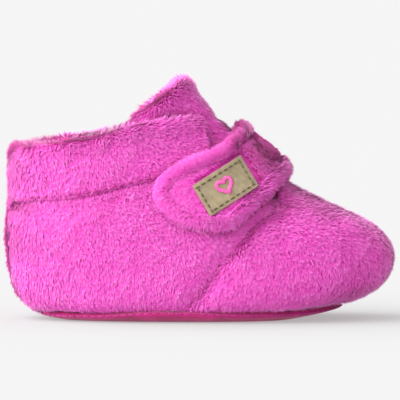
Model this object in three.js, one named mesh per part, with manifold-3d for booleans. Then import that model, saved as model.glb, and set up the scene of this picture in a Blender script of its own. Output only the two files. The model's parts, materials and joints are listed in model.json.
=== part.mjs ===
// A plush baby bootie with a soft sole, a stand-up collar, a padded tongue and a hook-and-loop strap.
// Millimetres, +Z up, +X towards the toe. The origin is on the floor, under the middle of the bootie's length.
// The strap closes on the -Y side, which is called near; the strap is sewn down on the +Y side, which is called far.
//
// Every soft panel is a piece of one smooth outer skin. The skin is a stack of rings that lean from the heel line
// to the front line. u runs up the stack, from 0 at the edge of the floor contact to 1 above the tongue, and from
// -1 to 0 across the flat underside. t runs round a ring, 0 at the toe and instep, +PI at the heel by the near side
// and -PI by the far side. A panel is a patch of (u, t) with a depth range: 0 on the skin, negative inside it.
import * as THREE from "three";
import { mergeVertices } from "three/addons/utils/BufferGeometryUtils.js";
import Module from "manifold-3d";

const wasm = await Module();
wasm.setup();

// Overall sizes
const LENGTH = 130;
const HEIGHT = 80;
const BALL_WIDTH = 56;
const ANKLE_WIDTH = 47;
const CONTACT_WIDTH = 34;

// Layers, from the skin inwards
const PLUSH = 2.6;
const LINING = 1.4;
const LAYER_GAP = 0.4;
const COLLAR_THICKNESS = 4.8;
const TONGUE_FRONT = 2.4;
const TONGUE_LINING = 1.4;
const OUTSOLE = 1.8;
const MIDSOLE = 2;
const INSOLE = 1.4;

// Layers of the strap, from the skin outwards
const HOOK_PAD = 0.6;
const BACKING = 0.5;
const STRAP_PLUSH = 2.6;

// Seams and small parts
const SEAM_GAP = 1.3;
const THREAD = 0.4;
const SEWN_THREAD = 0.6;
const STRAP_WIDTH = 24;
const TAB_WIDTH = 27.5;
const LABEL = { length: 18.5, width: 11.5, thickness: 0.8, tilt: THREE.MathUtils.degToRad(31.5) };
const LABEL_BORDER = 1.5;
const HEART_WIDTH = 5.6;
const LOOP_PAD = { length: 18, width: 14, thickness: 0.8 };
const HOOK = { length: 14, width: 12 };
const TONGUE_TUCK = 6;

// The colours and finishes of the cloths
const cloth = (color, roughness) => new THREE.MeshStandardMaterial({ color, roughness, metalness: 0 });
const plush = cloth(0xec66c3, 0.95);
const fleece = cloth(0xe872c4, 0.95);
const suede = cloth(0xc81878, 0.9);
const foam = cloth(0xf2ead8, 0.9);
const tape = cloth(0xe05ab8, 0.85);
const linen = cloth(0xb3a486, 0.85);
const pinkThread = cloth(0xd44aa8, 0.7);
const brownThread = cloth(0x6d6046, 0.7);

// ---- The skin -------------------------------------------------------------------------------------------------

// The pattern is drafted in side view for a bootie 130 long and 80 high, and stretched to the sizes above.
const DRAFT_LENGTH = 130;
const DRAFT_HEIGHT = 80;
const drafted = (x, z) => new THREE.Vector2((x * LENGTH) / DRAFT_LENGTH, (z * HEIGHT) / DRAFT_HEIGHT);

const heelLine = new THREE.SplineCurve([
  drafted(-46, 0), drafted(-56.5, 3.1), drafted(-62.6, 11.5), drafted(-65, 28), drafted(-63.8, 42),
  drafted(-63.8, 52), drafted(-61.3, 61), drafted(-59, 76),
]);
const frontLine = new THREE.SplineCurve([
  drafted(30, 0), drafted(46.3, 3.8), drafted(60.6, 10.8), drafted(65, 21.5), drafted(59, 30.8),
  drafted(46, 37.6), drafted(30, 45.6), drafted(18, 56), drafted(7.2, 66.2), drafted(-3.2, 79), drafted(-9, 92),
]);
heelLine.arcLengthDivisions = 400;
frontLine.arcLengthDivisions = 400;

const WIDEST = 0.32; // u where the foot is widest
const ANKLE = 0.8; // u of the ankle's width

// Half the width of the ring at u: a round bottom edge up to the ball, then easing in to the ankle.
function halfWidth(u) {
  const ball = BALL_WIDTH / 2;
  if (u < WIDEST) {
    const rise = Math.sqrt(Math.max(0, 1 - (1 - u / WIDEST) ** 2));
    return THREE.MathUtils.lerp(CONTACT_WIDTH / 2, ball, rise);
  }
  return THREE.MathUtils.lerp(ball, ANKLE_WIDTH / 2, THREE.MathUtils.smoothstep(u, WIDEST, ANKLE));
}

// How square a ring is (2 is an ellipse), and how much wider its front half is than its back half.
const squareness = (u) => THREE.MathUtils.lerp(2.5, 2.12, THREE.MathUtils.smoothstep(u, 0.35, 0.65));
const frontFlare = (u) => THREE.MathUtils.lerp(0.1, -0.04, THREE.MathUtils.smoothstep(u, 0.35, 0.65));
const signedPower = (v, power) => Math.sign(v) * Math.abs(v) ** power;

function skin(u, t) {
  const level = Math.max(u, 0);
  const heel = heelLine.getPointAt(Math.min(level, 1));
  const front = frontLine.getPointAt(Math.min(level, 1));
  const power = 2 / squareness(level);
  const along = signedPower(Math.cos(t), power);
  const across = signedPower(Math.sin(t), power) * (1 + frontFlare(level) * along);
  const middle = heel.clone().lerp(front, 0.5);
  const point = new THREE.Vector3(
    middle.x + ((front.x - heel.x) / 2) * along,
    -halfWidth(level) * across,
    middle.y + ((front.y - heel.y) / 2) * along,
  );
  if (u >= 0) return point;
  return new THREE.Vector3(middle.x, 0, middle.y).lerp(point, 1 + u);
}

function outward(u, t) {
  if (u <= 0) return new THREE.Vector3(0, 0, -1);
  const step = 0.012;
  const up = skin(Math.min(u + step, 1), t).sub(skin(Math.max(u - step, 0), t));
  const round = skin(u, t + step).sub(skin(u, t - step));
  return up.cross(round).normalize();
}

const place = ([u, t], depth) => skin(u, t).addScaledVector(outward(u, t), depth);

// The (u, t) on the near side that is seen at (x, z) in side view.
function seenAt(point) {
  let [low, high] = [0, 1];
  const level = (u) => {
    const heel = heelLine.getPointAt(u);
    const front = frontLine.getPointAt(u);
    const share = (point.x - heel.x) / (front.x - heel.x);
    return { share, z: THREE.MathUtils.lerp(heel.y, front.y, share) };
  };
  for (let pass = 0; pass < 30; pass++) {
    const half = (low + high) / 2;
    if (level(half).z < point.y) low = half;
    else high = half;
  }
  const along = THREE.MathUtils.clamp(2 * level(low).share - 1, -1, 1);
  return new THREE.Vector2(low, Math.acos(signedPower(along, squareness(low) / 2)));
}

// The (u, t) whose point at that depth is seen at (x, z): what stands off the skin leans out from it.
function seenAtDepth(point, depth) {
  const aim = point.clone();
  let found = seenAt(aim);
  for (let pass = 0; pass < 12; pass++) {
    const seen = place([found.x, found.y], depth);
    aim.add(new THREE.Vector2(point.x - seen.x, point.y - seen.z).multiplyScalar(0.7));
    found = seenAt(aim);
  }
  return found;
}

// A seam or edge drawn in side view, as a smooth curve of (u, t) with b from 0 to 1, shifted by a gap. A seam that
// starts at the hem has the u of its first point from the hem.
function edge(points, shiftX = 0, shiftZ = 0, hem = null) {
  const spots = points.map(([x, z]) => seenAt(drafted(x, z).add(new THREE.Vector2(shiftX, shiftZ))));
  if (hem) spots[0].x = hem(spots[0].y);
  const curve = new THREE.SplineCurve(spots);
  return (b) => curve.getPoint(b);
}

// The u of an edge where it passes t. The edge runs from the heel forwards, so t falls along it.
function levelOn(line, t) {
  let [low, high] = [0, 1];
  for (let pass = 0; pass < 30; pass++) {
    const half = (low + high) / 2;
    if (line(half).y > t) low = half;
    else high = half;
  }
  return line(low).x;
}

// A function through a few (x, value) pairs.
function graph(pairs) {
  const values = new THREE.CubicInterpolant(
    pairs.map((pair) => pair[0]),
    pairs.map((pair) => pair[1]),
    1,
  );
  return (x) => values.evaluate(x)[0];
}

// ---- Solids ---------------------------------------------------------------------------------------------------

function closedMesh(name, points, faces, material) {
  const geometry = new THREE.BufferGeometry();
  geometry.setAttribute("position", new THREE.Float32BufferAttribute(points.flatMap((p) => p.toArray()), 3));
  let volume = 0;
  for (let i = 0; i < faces.length; i += 3) {
    const [a, b, c] = [points[faces[i]], points[faces[i + 1]], points[faces[i + 2]]];
    volume += a.dot(b.clone().cross(c));
  }
  geometry.setIndex(volume > 0 ? faces : faces.toReversed());
  geometry.computeVertexNormals();
  const mesh = new THREE.Mesh(geometry, material);
  mesh.name = name;
  return mesh;
}

// A panel: a patch of the skin, map(a, b) with a and b from 0 to 1, between two depths, which may vary over it.
function panel(name, material, map, across, up, inner, outer) {
  const depthAt = (depth, a, b) => (typeof depth === "function" ? depth(a, b) : depth);
  const points = [];
  for (const depth of [outer, inner]) {
    for (let j = 0; j <= up; j++) {
      for (let i = 0; i <= across; i++) {
        const [a, b] = [i / across, j / up];
        points.push(place(map(a, b), depthAt(depth, a, b)));
      }
    }
  }
  const row = across + 1;
  const back = row * (up + 1);
  const faces = [];
  const quad = (a, b, c, d) => faces.push(a, b, c, a, c, d);
  for (let j = 0; j < up; j++) {
    for (let i = 0; i < across; i++) {
      const k = j * row + i;
      quad(k, k + 1, k + row + 1, k + row);
      quad(back + k, back + k + row, back + k + row + 1, back + k + 1);
    }
  }
  for (let i = 0; i < across; i++) {
    quad(i, back + i, back + i + 1, i + 1);
    const top = up * row + i;
    quad(top, top + 1, back + top + 1, back + top);
  }
  for (let j = 0; j < up; j++) {
    const left = j * row;
    quad(left, left + row, back + left + row, back + left);
    const right = left + across;
    quad(right, back + right, back + right + row, right + row);
  }
  return closedMesh(name, points, faces, material);
}

// A dish: the whole underside out to the level rim(t), between two depths, half its rings on the flat.
function dish(name, material, rim, rings, sectors, inner, outer) {
  const points = [];
  for (const depth of [outer, inner]) {
    points.push(place([-1, 0], depth));
    for (let j = 1; j <= rings; j++) {
      for (let i = 0; i < sectors; i++) {
        const t = (i / sectors) * 2 * Math.PI - Math.PI;
        const reach = (2 * j) / rings - 1;
        points.push(place([reach > 0 ? reach * rim(Math.abs(t)) : reach, t], depth));
      }
    }
  }
  const half = 1 + rings * sectors;
  const faces = [];
  const at = (j, i) => 1 + (j - 1) * sectors + (i % sectors);
  for (let i = 0; i < sectors; i++) {
    faces.push(0, at(1, i), at(1, i + 1));
    faces.push(half, half + at(1, i + 1), half + at(1, i));
    for (let j = 1; j < rings; j++) {
      faces.push(at(j, i), at(j + 1, i), at(j + 1, i + 1), at(j, i), at(j + 1, i + 1), at(j, i + 1));
      faces.push(half + at(j, i), half + at(j + 1, i + 1), half + at(j + 1, i));
      faces.push(half + at(j, i), half + at(j, i + 1), half + at(j + 1, i + 1));
    }
    faces.push(at(rings, i), half + at(rings, i), half + at(rings, i + 1));
    faces.push(at(rings, i), half + at(rings, i + 1), at(rings, i + 1));
  }
  return closedMesh(name, points, faces, material);
}

// A thread that follows route(b) of (u, t) at one depth, as an extruded round section.
function thread(name, material, route, steps, depth, diameter, closed = false) {
  const count = closed ? steps : steps + 1;
  const spots = Array.from({ length: count }, (_, i) => {
    const spot = route(i / steps);
    return place([spot.x, spot.y], depth);
  });
  const section = new THREE.Shape(
    Array.from({ length: 4 }, (_, i) => {
      const angle = (i / 4) * 2 * Math.PI;
      return new THREE.Vector2(Math.cos(angle), Math.sin(angle)).multiplyScalar(diameter / 2);
    }),
  );
  const path = new THREE.CatmullRomCurve3(spots, closed);
  const mesh = new THREE.Mesh(new THREE.ExtrudeGeometry(section, { extrudePath: path, steps }), material);
  mesh.name = name;
  return mesh;
}

function solid(mesh) {
  const bare = mesh.geometry.clone();
  for (const extra of Object.keys(bare.attributes)) {
    if (extra !== "position") bare.deleteAttribute(extra);
  }
  const merged = mergeVertices(bare, 1e-4);
  return new wasm.Manifold(
    new wasm.Mesh({
      numProp: 3,
      vertProperties: merged.attributes.position.array,
      triVerts: new Uint32Array(merged.index.array),
    }),
  );
}

// The mesh with a bed for another piece cut out of it.
function cutFrom(mesh, cutter) {
  const cut = solid(mesh).subtract(solid(cutter)).getMesh();
  const geometry = new THREE.BufferGeometry();
  geometry.setAttribute("position", new THREE.BufferAttribute(cut.vertProperties, 3));
  geometry.setIndex(new THREE.BufferAttribute(cut.triVerts, 1));
  geometry.computeVertexNormals();
  mesh.geometry = geometry;
  return mesh;
}

// ---- Seams of the upper, drawn in side view --------------------------------------------------------------------

const degrees = THREE.MathUtils.degToRad;
const soleLevel = graph([
  [0, 0.115], [degrees(40), 0.08], [degrees(70), 0.078], [degrees(97), 0.115], [degrees(125), 0.08], [Math.PI, 0.075],
]);
const SOLE_SHIFT = 0.018; // the width of the sole seam, in u
const throat = [26.3, 41.2];
const vampSeam = [[-4, 3.6], [4, 15.2], [11.2, 24.6], [19, 33.6], throat];
const facing = [throat, [14, 46.6], [2, 53]];
const collarSeam = [[-64, 40.3], [-42, 41.9], [-21, 46.6], [2, 53]];
const collarFront = [[2, 53], [1.8, 60], [0.3, 66.9]];
const rim = [[-62.2, 57.5], [-40, 59.6], [-20, 64.2], [0.3, 66.9]];

const blend = (p, q, share) => p.clone().lerp(q, share);
const uv = (point) => [point.x, point.y];
const mirrored = (point) => new THREE.Vector2(point.x, -point.y);
// The t of a near-side spot at a share a of a piece that runs from the near side, round the heel, to the far side.
const roundHeel = (a, t) => (a === 0.5 ? Math.PI : a < 0.5 ? t : 2 * Math.PI - t);

// ---- Sole -----------------------------------------------------------------------------------------------------

const OUTSOLE_TOP = -OUTSOLE;
const MIDSOLE_TOP = OUTSOLE_TOP - LAYER_GAP - MIDSOLE;
const LINING_TOP = -PLUSH - LAYER_GAP - LINING;
const INSOLE_BED = Math.min(MIDSOLE_TOP, LINING_TOP) - LAYER_GAP;

const hem = (t) => soleLevel(t) + SOLE_SHIFT;
const FOAM_SHORT = 0.03; // how far the foam stops below the outsole's edge, in u
const INSOLE_RISE = 0.03; // how far the insole turns up past it

const outsole = dish("outsole", suede, soleLevel, 4, 30, OUTSOLE_TOP, 0);
const midsole = dish(
  "midsole_foam", foam, (t) => soleLevel(t) - FOAM_SHORT, 4, 30, MIDSOLE_TOP, OUTSOLE_TOP - LAYER_GAP,
);
const insole = dish("insole", fleece, (t) => soleLevel(t) + INSOLE_RISE, 4, 30, INSOLE_BED - INSOLE, INSOLE_BED);

// ---- Vamp -----------------------------------------------------------------------------------------------------

const vampSide = edge(vampSeam, SEAM_GAP, 0, hem);
const vampTop = seenAt(drafted(26, 49.4));

function vampMap(a, b) {
  const side = vampSide(b);
  const foot = vampSide(0);
  const share = Math.abs(1 - 2 * a);
  const ridge = THREE.MathUtils.lerp(hem(0), vampTop.x, b);
  const swept = THREE.MathUtils.lerp(ridge, side.x, share ** 2);
  const drop = hem(foot.y * share) - THREE.MathUtils.lerp(hem(0), foot.x, share ** 2);
  return [swept + drop * (1 - b), side.y * (1 - 2 * a)];
}

const vamp = panel("vamp", plush, vampMap, 16, 9, -PLUSH, 0);
const vampLining = panel("vamp_lining", fleece, vampMap, 16, 9, LINING_TOP, -PLUSH - LAYER_GAP);

// ---- Quarters -------------------------------------------------------------------------------------------------

const NOSE = 0.72; // share of the quarter's front edge that is the vamp seam; the rest is the facing
const quarterNose = edge(vampSeam, 0, 0, hem);
const quarterFacing = edge(facing);
const quarterTop = edge(collarSeam);
const BACK_GAP = 0.012; // half the width of the back seam, in t

function quarterFront(b) {
  return b < NOSE ? quarterNose(b / NOSE) : quarterFacing((b - NOSE) / (1 - NOSE));
}

function quarterMap(a, b) {
  const heel = Math.PI - BACK_GAP;
  const foot = new THREE.Vector2(hem(heel), heel);
  const crown = new THREE.Vector2(levelOn(quarterTop, heel), heel);
  const spot = blend(blend(foot, crown, b), quarterFront(b), a);
  const low = blend(foot, quarterFront(0), a);
  const high = blend(crown, quarterFront(1), a);
  spot.x += (hem(low.y) - low.x) * (1 - b) ** 2 + (levelOn(quarterTop, high.y) - high.x) * b ** 4;
  return spot;
}

function quarter(name, material, side, inner, outer) {
  const map = (a, b) => {
    const spot = quarterMap(a, b);
    return [spot.x, side * spot.y];
  };
  return panel(name, material, map, 12, 7, inner, outer);
}

const nearQuarter = quarter("quarter_near", plush, 1, -PLUSH, 0);
const farQuarter = quarter("quarter_far", plush, -1, -PLUSH, 0);
const nearQuarterLining = quarter("quarter_lining_near", fleece, 1, LINING_TOP, -PLUSH - LAYER_GAP);
const farQuarterLining = quarter("quarter_lining_far", fleece, -1, LINING_TOP, -PLUSH - LAYER_GAP);

// ---- Collar ---------------------------------------------------------------------------------------------------

const COLLAR_ROUND = 1.5;
const collarFoot = edge(collarSeam, 0, SEAM_GAP);
const collarRim = edge(rim);
const collarEnd = edge(collarFront, 0, SEAM_GAP);

// Both long edges are rolled over a little, as a folded band's are.
const rolled = (b) => COLLAR_ROUND * (Math.max(0, Math.abs(2 * b - 1) - 0.55) / 0.45) ** 2;

const collar = panel("collar_band", plush, (a, b) => {
  const share = Math.abs(1 - 2 * a);
  const foot = collarFoot(share);
  const top = collarRim(share);
  const spot = blend(foot, top, b);
  spot.y = THREE.MathUtils.lerp(spot.y, collarEnd(b).y, share ** 6);
  return [spot.x, roundHeel(a, spot.y)];
}, 28, 5, (a, b) => -COLLAR_THICKNESS + rolled(b), (a, b) => -rolled(b));

// ---- Strap route, drawn in side view from the instep down the near side --------------------------------------------

const STRAP_BED = LAYER_GAP;
const BACKING_BED = STRAP_BED + HOOK_PAD + LAYER_GAP;
const STRAP_PLUSH_BED = BACKING_BED + BACKING + LAYER_GAP;
const STRAP_TOP = STRAP_PLUSH_BED + STRAP_PLUSH;
const strapMiddle = new THREE.SplineCurve([
  drafted(18.6, 55.4), drafted(15.4, 50.2), drafted(10.6, 46.4), drafted(0.6, 41.2), drafted(-13.6, 38.6),
]);
const STRAP_REACH = strapMiddle.getLength();
const TAB_ROUND = 15;
const PEEL_AT = 5.2; // from the instep's ridge to the line where the tab bends, along the strap
const ANCHOR_AT = 15; // from the ridge to the line on the far side where the strap is sewn down
const ANCHOR_END = 23;
const CROSS_AT_RIDGE = degrees(-40);
const CROSS_AT_TAB = degrees(-52);

// The strap's edge at a distance s from the ridge along the strap: side -1 is the rear edge, +1 the front edge.
function strapEdge(s, side) {
  const share = Math.min(Math.abs(s) / STRAP_REACH, 1);
  const middle = strapMiddle.getPointAt(share);
  const cross = THREE.MathUtils.lerp(CROSS_AT_RIDGE, CROSS_AT_TAB, THREE.MathUtils.smoothstep(share, 0, 0.6));
  const full = THREE.MathUtils.lerp(STRAP_WIDTH, TAB_WIDTH, THREE.MathUtils.smoothstep(share, 0.15, 0.6)) / 2;
  const rounding = Math.max(0, (Math.abs(s) - (STRAP_REACH - TAB_ROUND)) / TAB_ROUND);
  const half = full * Math.sqrt(Math.max(0.03, 1 - rounding ** 2));
  const spot = middle.clone().add(new THREE.Vector2(Math.cos(cross), Math.sin(cross)).multiplyScalar(side * half));
  const found = seenAt(spot);
  const turned = THREE.MathUtils.smoothstep(Math.abs(s), 0, PEEL_AT);
  found.y *= s === 0 ? 0 : turned ** 0.5;
  return s < 0 ? mirrored(found) : found;
}

// A patch of the strap from s0 to s1, inset from its edges.
function strapPatch(s0, s1, inset = 0) {
  return (a, b) => {
    const s = THREE.MathUtils.lerp(s0, s1, b);
    const share = inset / STRAP_WIDTH + a * (1 - (2 * inset) / STRAP_WIDTH);
    return uv(blend(strapEdge(s, -1), strapEdge(s, 1), share));
  };
}

const HINGE_GAP = 0.5;
const bridge = [-ANCHOR_AT + HINGE_GAP, PEEL_AT - HINGE_GAP];
const tab = [PEEL_AT, STRAP_REACH];
const anchor = [-ANCHOR_END, -ANCHOR_AT];

function strapPiece(name, material, [from, to], rows, inner, outer, inset = 0) {
  return panel(name, material, strapPatch(from, to, inset), 6, rows, inner, outer);
}

const strapBridge = strapPiece("strap_bridge", plush, bridge, 8, STRAP_PLUSH_BED, STRAP_TOP);
const bridgeBacking = strapPiece("strap_bridge_backing", tape, bridge, 8, BACKING_BED, BACKING_BED + BACKING, 1);
const strapTab = strapPiece("strap_tab", plush, tab, 9, STRAP_PLUSH_BED, STRAP_TOP);
const TAB_TURN = 2; // the plush is turned under round the end of the tab
const tabBacking = strapPiece(
  "strap_tab_backing", tape, [tab[0], tab[1] - TAB_TURN], 9, BACKING_BED, BACKING_BED + BACKING, 1,
);
const ANCHOR_END_THICKNESS = 1.2; // the sewn end is pressed flat
const strapAnchor = strapPiece("strap_anchor", plush, anchor, 3, STRAP_BED, (a, b) =>
  THREE.MathUtils.lerp(STRAP_BED + ANCHOR_END_THICKNESS, STRAP_TOP, THREE.MathUtils.smoothstep(b, 0, 0.9)));

// ---- Hook-and-loop pads, label and its sewing ----------------------------------------------------------------------

// A rectangle on the near side, square to the label, with its middle given in side view at the stated depth.
function rectangle(middle, length, width, depth) {
  const right = new THREE.Vector2(Math.cos(LABEL.tilt), Math.sin(LABEL.tilt));
  const upward = new THREE.Vector2(-Math.sin(LABEL.tilt), Math.cos(LABEL.tilt));
  return (a, b) =>
    uv(seenAtDepth(
      middle.clone().addScaledVector(right, (a - 0.5) * length).addScaledVector(upward, (b - 0.5) * width), depth,
    ));
}

const tabMiddle = drafted(1.5, 41.6);
const labelMiddle = drafted(8.3, 45.2);
const LABEL_BED = STRAP_TOP - LABEL.thickness;
const grown = (size, gap) => size + 2 * gap;

const loopPad = panel(
  "loop_pad", tape, rectangle(tabMiddle, LOOP_PAD.length, LOOP_PAD.width, 0), 4, 4, -LOOP_PAD.thickness, 0,
);
const loopBed = panel(
  "loop_bed", tape,
  rectangle(tabMiddle, grown(LOOP_PAD.length, LAYER_GAP), grown(LOOP_PAD.width, LAYER_GAP), 0),
  4, 4, -LOOP_PAD.thickness - LAYER_GAP, STRAP_BED,
);
cutFrom(nearQuarter, loopBed);
const hookPad = panel(
  "hook_pad", tape, rectangle(tabMiddle, HOOK.length, HOOK.width, STRAP_BED), 4, 4, STRAP_BED, STRAP_BED + HOOK_PAD,
);

const labelPatch = panel(
  "label_patch", linen, rectangle(labelMiddle, LABEL.length, LABEL.width, STRAP_TOP), 5, 4, LABEL_BED, STRAP_TOP,
);
const labelBed = panel(
  "label_bed", linen,
  rectangle(labelMiddle, grown(LABEL.length, LAYER_GAP), grown(LABEL.width, LAYER_GAP), STRAP_TOP),
  5, 4, LABEL_BED - LAYER_GAP, STRAP_TOP + 2,
);
cutFrom(strapTab, labelBed);

const THREAD_LIFT = STRAP_TOP + LAYER_GAP + SEWN_THREAD / 2;
const labelFace = rectangle(
  labelMiddle, LABEL.length - 2 * LABEL_BORDER, LABEL.width - 2 * LABEL_BORDER, THREAD_LIFT,
);

// Once round the label, starting at a corner.
function roundLabel(b) {
  const lap = (b * 4) % 4;
  const side = Math.floor(lap);
  const share = lap - side;
  const corners = [[share, 0], [1, share], [1 - share, 1], [0, 1 - share]];
  return new THREE.Vector2(...labelFace(...corners[side]));
}

const labelStitching = thread("label_stitching", brownThread, roundLabel, 20, THREAD_LIFT, SEWN_THREAD, true);

// A small heart in satin stitch.
function heart(b) {
  const angle = b * 2 * Math.PI;
  const x = Math.sin(angle) ** 3;
  const z = (13 * Math.cos(angle) - 5 * Math.cos(2 * angle) - 2 * Math.cos(3 * angle) - Math.cos(4 * angle)) / 16;
  const spot = rectangle(labelMiddle, HEART_WIDTH, HEART_WIDTH, THREAD_LIFT)((x + 1) / 2, (z + 1) / 2);
  return new THREE.Vector2(...spot);
}

const labelHeart = thread("label_heart", pinkThread, heart, 18, THREAD_LIFT, SEWN_THREAD, true);

// ---- Tongue ---------------------------------------------------------------------------------------------------

// The tongue shows between the facings and is tucked in under them. Its outer face steps down under the facing.
const SHOWN = 0.62; // share of the half-width that shows
const FLEX = 0.765; // u of the ridge where the free top of the tongue bends
const TUCK_DEPTH = -COLLAR_THICKNESS - LAYER_GAP;
const tongueStep = (a) => THREE.MathUtils.smoothstep(Math.abs(1 - 2 * a), SHOWN - 0.2, SHOWN);
const frontDepth = (a) => THREE.MathUtils.lerp(-0.4, TUCK_DEPTH, tongueStep(a));

const tongueSeam = edge([throat, [14, 46.6], [2, 53], [1.8, 61.6]], SEAM_GAP, 0);

function tongueBaseMap(a, b) {
  const side = tongueSeam(b);
  const share = Math.abs(1 - 2 * a);
  const tuck = (TONGUE_TUCK / (ANKLE_WIDTH / 2)) * Math.max(0, (share - SHOWN) / (1 - SHOWN));
  const shownShare = Math.min(1, share / SHOWN);
  const t = side.y * shownShare + tuck;
  const ridge = THREE.MathUtils.lerp(vampTop.x + 0.01, FLEX - 0.004, b);
  const u = THREE.MathUtils.lerp(ridge, side.x + 0.02 * (1 - b), shownShare ** 2);
  return [u, a < 0.5 ? t : -t];
}

const tongueBase = panel(
  "tongue_base", plush, tongueBaseMap, 12, 4, (a) => frontDepth(a) - TONGUE_FRONT, (a) => frontDepth(a),
);
const tongueBaseLining = panel(
  "tongue_base_lining", fleece, tongueBaseMap, 12, 4,
  (a) => frontDepth(a) - TONGUE_FRONT - LAYER_GAP - TONGUE_LINING, (a) => frontDepth(a) - TONGUE_FRONT - LAYER_GAP,
);

// The free top: its side edge runs up the end of the collar, then back over the rim to the lobe.
const tongueEnd = edge([[1.75, 62.7], [1.5, 65], [0.6, 67.4]], SEAM_GAP, 0);
const tongueOverRim = edge([[0.6, 67.4], [-9, 67.6], [-19.5, 67]], SEAM_GAP, SEAM_GAP);
const tonguePeak = seenAt(drafted(-4, 80));
const CORNER = 0.5;

function tongueTopMap(a, b) {
  const share = Math.abs(1 - 2 * a);
  const side = b < CORNER ? tongueEnd(b / CORNER) : tongueOverRim((b - CORNER) / (1 - CORNER));
  const ridge = THREE.MathUtils.lerp(FLEX + 0.004, tonguePeak.x, b);
  const crown = Math.cos((share * Math.PI) / 2) ** 0.8;
  const u = THREE.MathUtils.lerp(side.x, ridge, b < 1 ? THREE.MathUtils.lerp(1 - share ** 2, crown, b) : crown);
  const t = side.y * share;
  return [u, a < 0.5 ? t : -t];
}

const LOBE_DEPTH = -COLLAR_THICKNESS - LAYER_GAP - 0.6;
const topDepth = (a, b) =>
  THREE.MathUtils.lerp(-0.4, LOBE_DEPTH, THREE.MathUtils.smoothstep(Math.abs(1 - 2 * a), 0.35, 0.95) * b ** 0.5);
const tongueTop = panel(
  "tongue_top", plush, tongueTopMap, 12, 7, (a, b) => topDepth(a, b) - TONGUE_FRONT, topDepth,
);
const tongueTopLining = panel(
  "tongue_top_lining", fleece, tongueTopMap, 12, 7,
  (a, b) => topDepth(a, b) - TONGUE_FRONT - LAYER_GAP - TONGUE_LINING,
  (a, b) => topDepth(a, b) - TONGUE_FRONT - LAYER_GAP,
);

// ---- Seam threads -----------------------------------------------------------------------------------------------

const SEAM_DEPTH = -0.6;
const collarRoute = edge(collarSeam, 0, SEAM_GAP / 2);
const vampRoute = edge(vampSeam, SEAM_GAP / 2, 0, hem);
const backRoute = (b) => new THREE.Vector2(
  THREE.MathUtils.lerp(hem(Math.PI), levelOn(quarterTop, Math.PI - BACK_GAP), THREE.MathUtils.lerp(0.03, 0.97, b)),
  Math.PI,
);
const soleRoute = (b) => {
  const t = (2 * b - 1) * Math.PI;
  return new THREE.Vector2(soleLevel(Math.abs(t)) + SOLE_SHIFT * 0.52, t);
};
const collarLoop = (b) => {
  const spot = collarRoute(Math.abs(1 - 2 * b));
  return new THREE.Vector2(spot.x, roundHeel(b, spot.y));
};
const seamThreads = [
  thread("collar_seam_thread", pinkThread, collarLoop, 28, SEAM_DEPTH, THREAD),
  thread("vamp_seam_thread_near", pinkThread, vampRoute, 10, SEAM_DEPTH, THREAD),
  thread("vamp_seam_thread_far", pinkThread, (b) => mirrored(vampRoute(b)), 10, SEAM_DEPTH, THREAD),
  thread("back_seam_thread", pinkThread, backRoute, 8, SEAM_DEPTH, THREAD),
  thread("sole_seam_thread", pinkThread, soleRoute, 30, SEAM_DEPTH, THREAD, true),
];

// The topstitching of the strap: a line inside each edge of the bridge, and one round the tab.
const TOPSTITCH_INSET = 3.2;
const onStrap = (s, share) => blend(strapEdge(s, -1), strapEdge(s, 1), share);
const insetShare = (width) => TOPSTITCH_INSET / width;

function bridgeRow(share) {
  return (b) => onStrap(THREE.MathUtils.lerp(bridge[0] + 0.5, bridge[1] - 0.5, b), share);
}

const TAB_LEG = 0.3; // share of the tab's row that runs down each leg, before it turns round the end
const tabTurn = STRAP_REACH - TAB_ROUND;

function tabRow(b) {
  const side = b < 0.5 ? -1 : 1;
  const along = Math.min(b, 1 - b);
  if (along < TAB_LEG) {
    const share = insetShare(TAB_WIDTH);
    const s = THREE.MathUtils.lerp(tab[0] + 0.5, tabTurn, along / TAB_LEG);
    return onStrap(s, side < 0 ? share : 1 - share);
  }
  const angle = (((along - TAB_LEG) / (0.5 - TAB_LEG)) * Math.PI) / 2;
  const rimSpot = strapEdge(tabTurn + TAB_ROUND * Math.sin(angle), side);
  return blend(onStrap(tabTurn, 0.5), rimSpot, 1 - 2 * insetShare(TAB_WIDTH));
}

const topstitches = [
  thread("bridge_topstitch_rear", pinkThread, bridgeRow(insetShare(STRAP_WIDTH)), 8, THREAD_LIFT, SEWN_THREAD),
  thread("bridge_topstitch_front", pinkThread, bridgeRow(1 - insetShare(STRAP_WIDTH)), 8, THREAD_LIFT, SEWN_THREAD),
  thread("tab_topstitch", pinkThread, tabRow, 20, THREAD_LIFT, SEWN_THREAD),
];

// ---- The bootie --------------------------------------------------------------------------------------------------

const bootie = new THREE.Group();
bootie.add(outsole, midsole, insole);
bootie.add(vamp, vampLining, nearQuarter, farQuarter, nearQuarterLining, farQuarterLining, collar);
bootie.add(tongueBase, tongueBaseLining, tongueTop, tongueTopLining);
bootie.add(strapBridge, bridgeBacking, strapTab, tabBacking, strapAnchor);
bootie.add(loopPad, hookPad, labelPatch, labelStitching, labelHeart);
bootie.add(...seamThreads, ...topstitches);

// The strap stands out on one side, so the whole is shifted sideways until its box is centred on the origin.
const bounds = new THREE.Box3().setFromObject(bootie, true);
bootie.position.y = -(bounds.min.y + bounds.max.y) / 2;

export default bootie;
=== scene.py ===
# A plush baby bootie with a soft sole, a stand-up collar, a padded tongue and a hook-and-loop strap.
# Its sizes are in millimetres, which MM turns to the scene's metres. Only the camera's are in metres.
import json
import math

import bmesh
import bpy
import numpy as np
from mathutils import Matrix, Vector, noise


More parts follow.
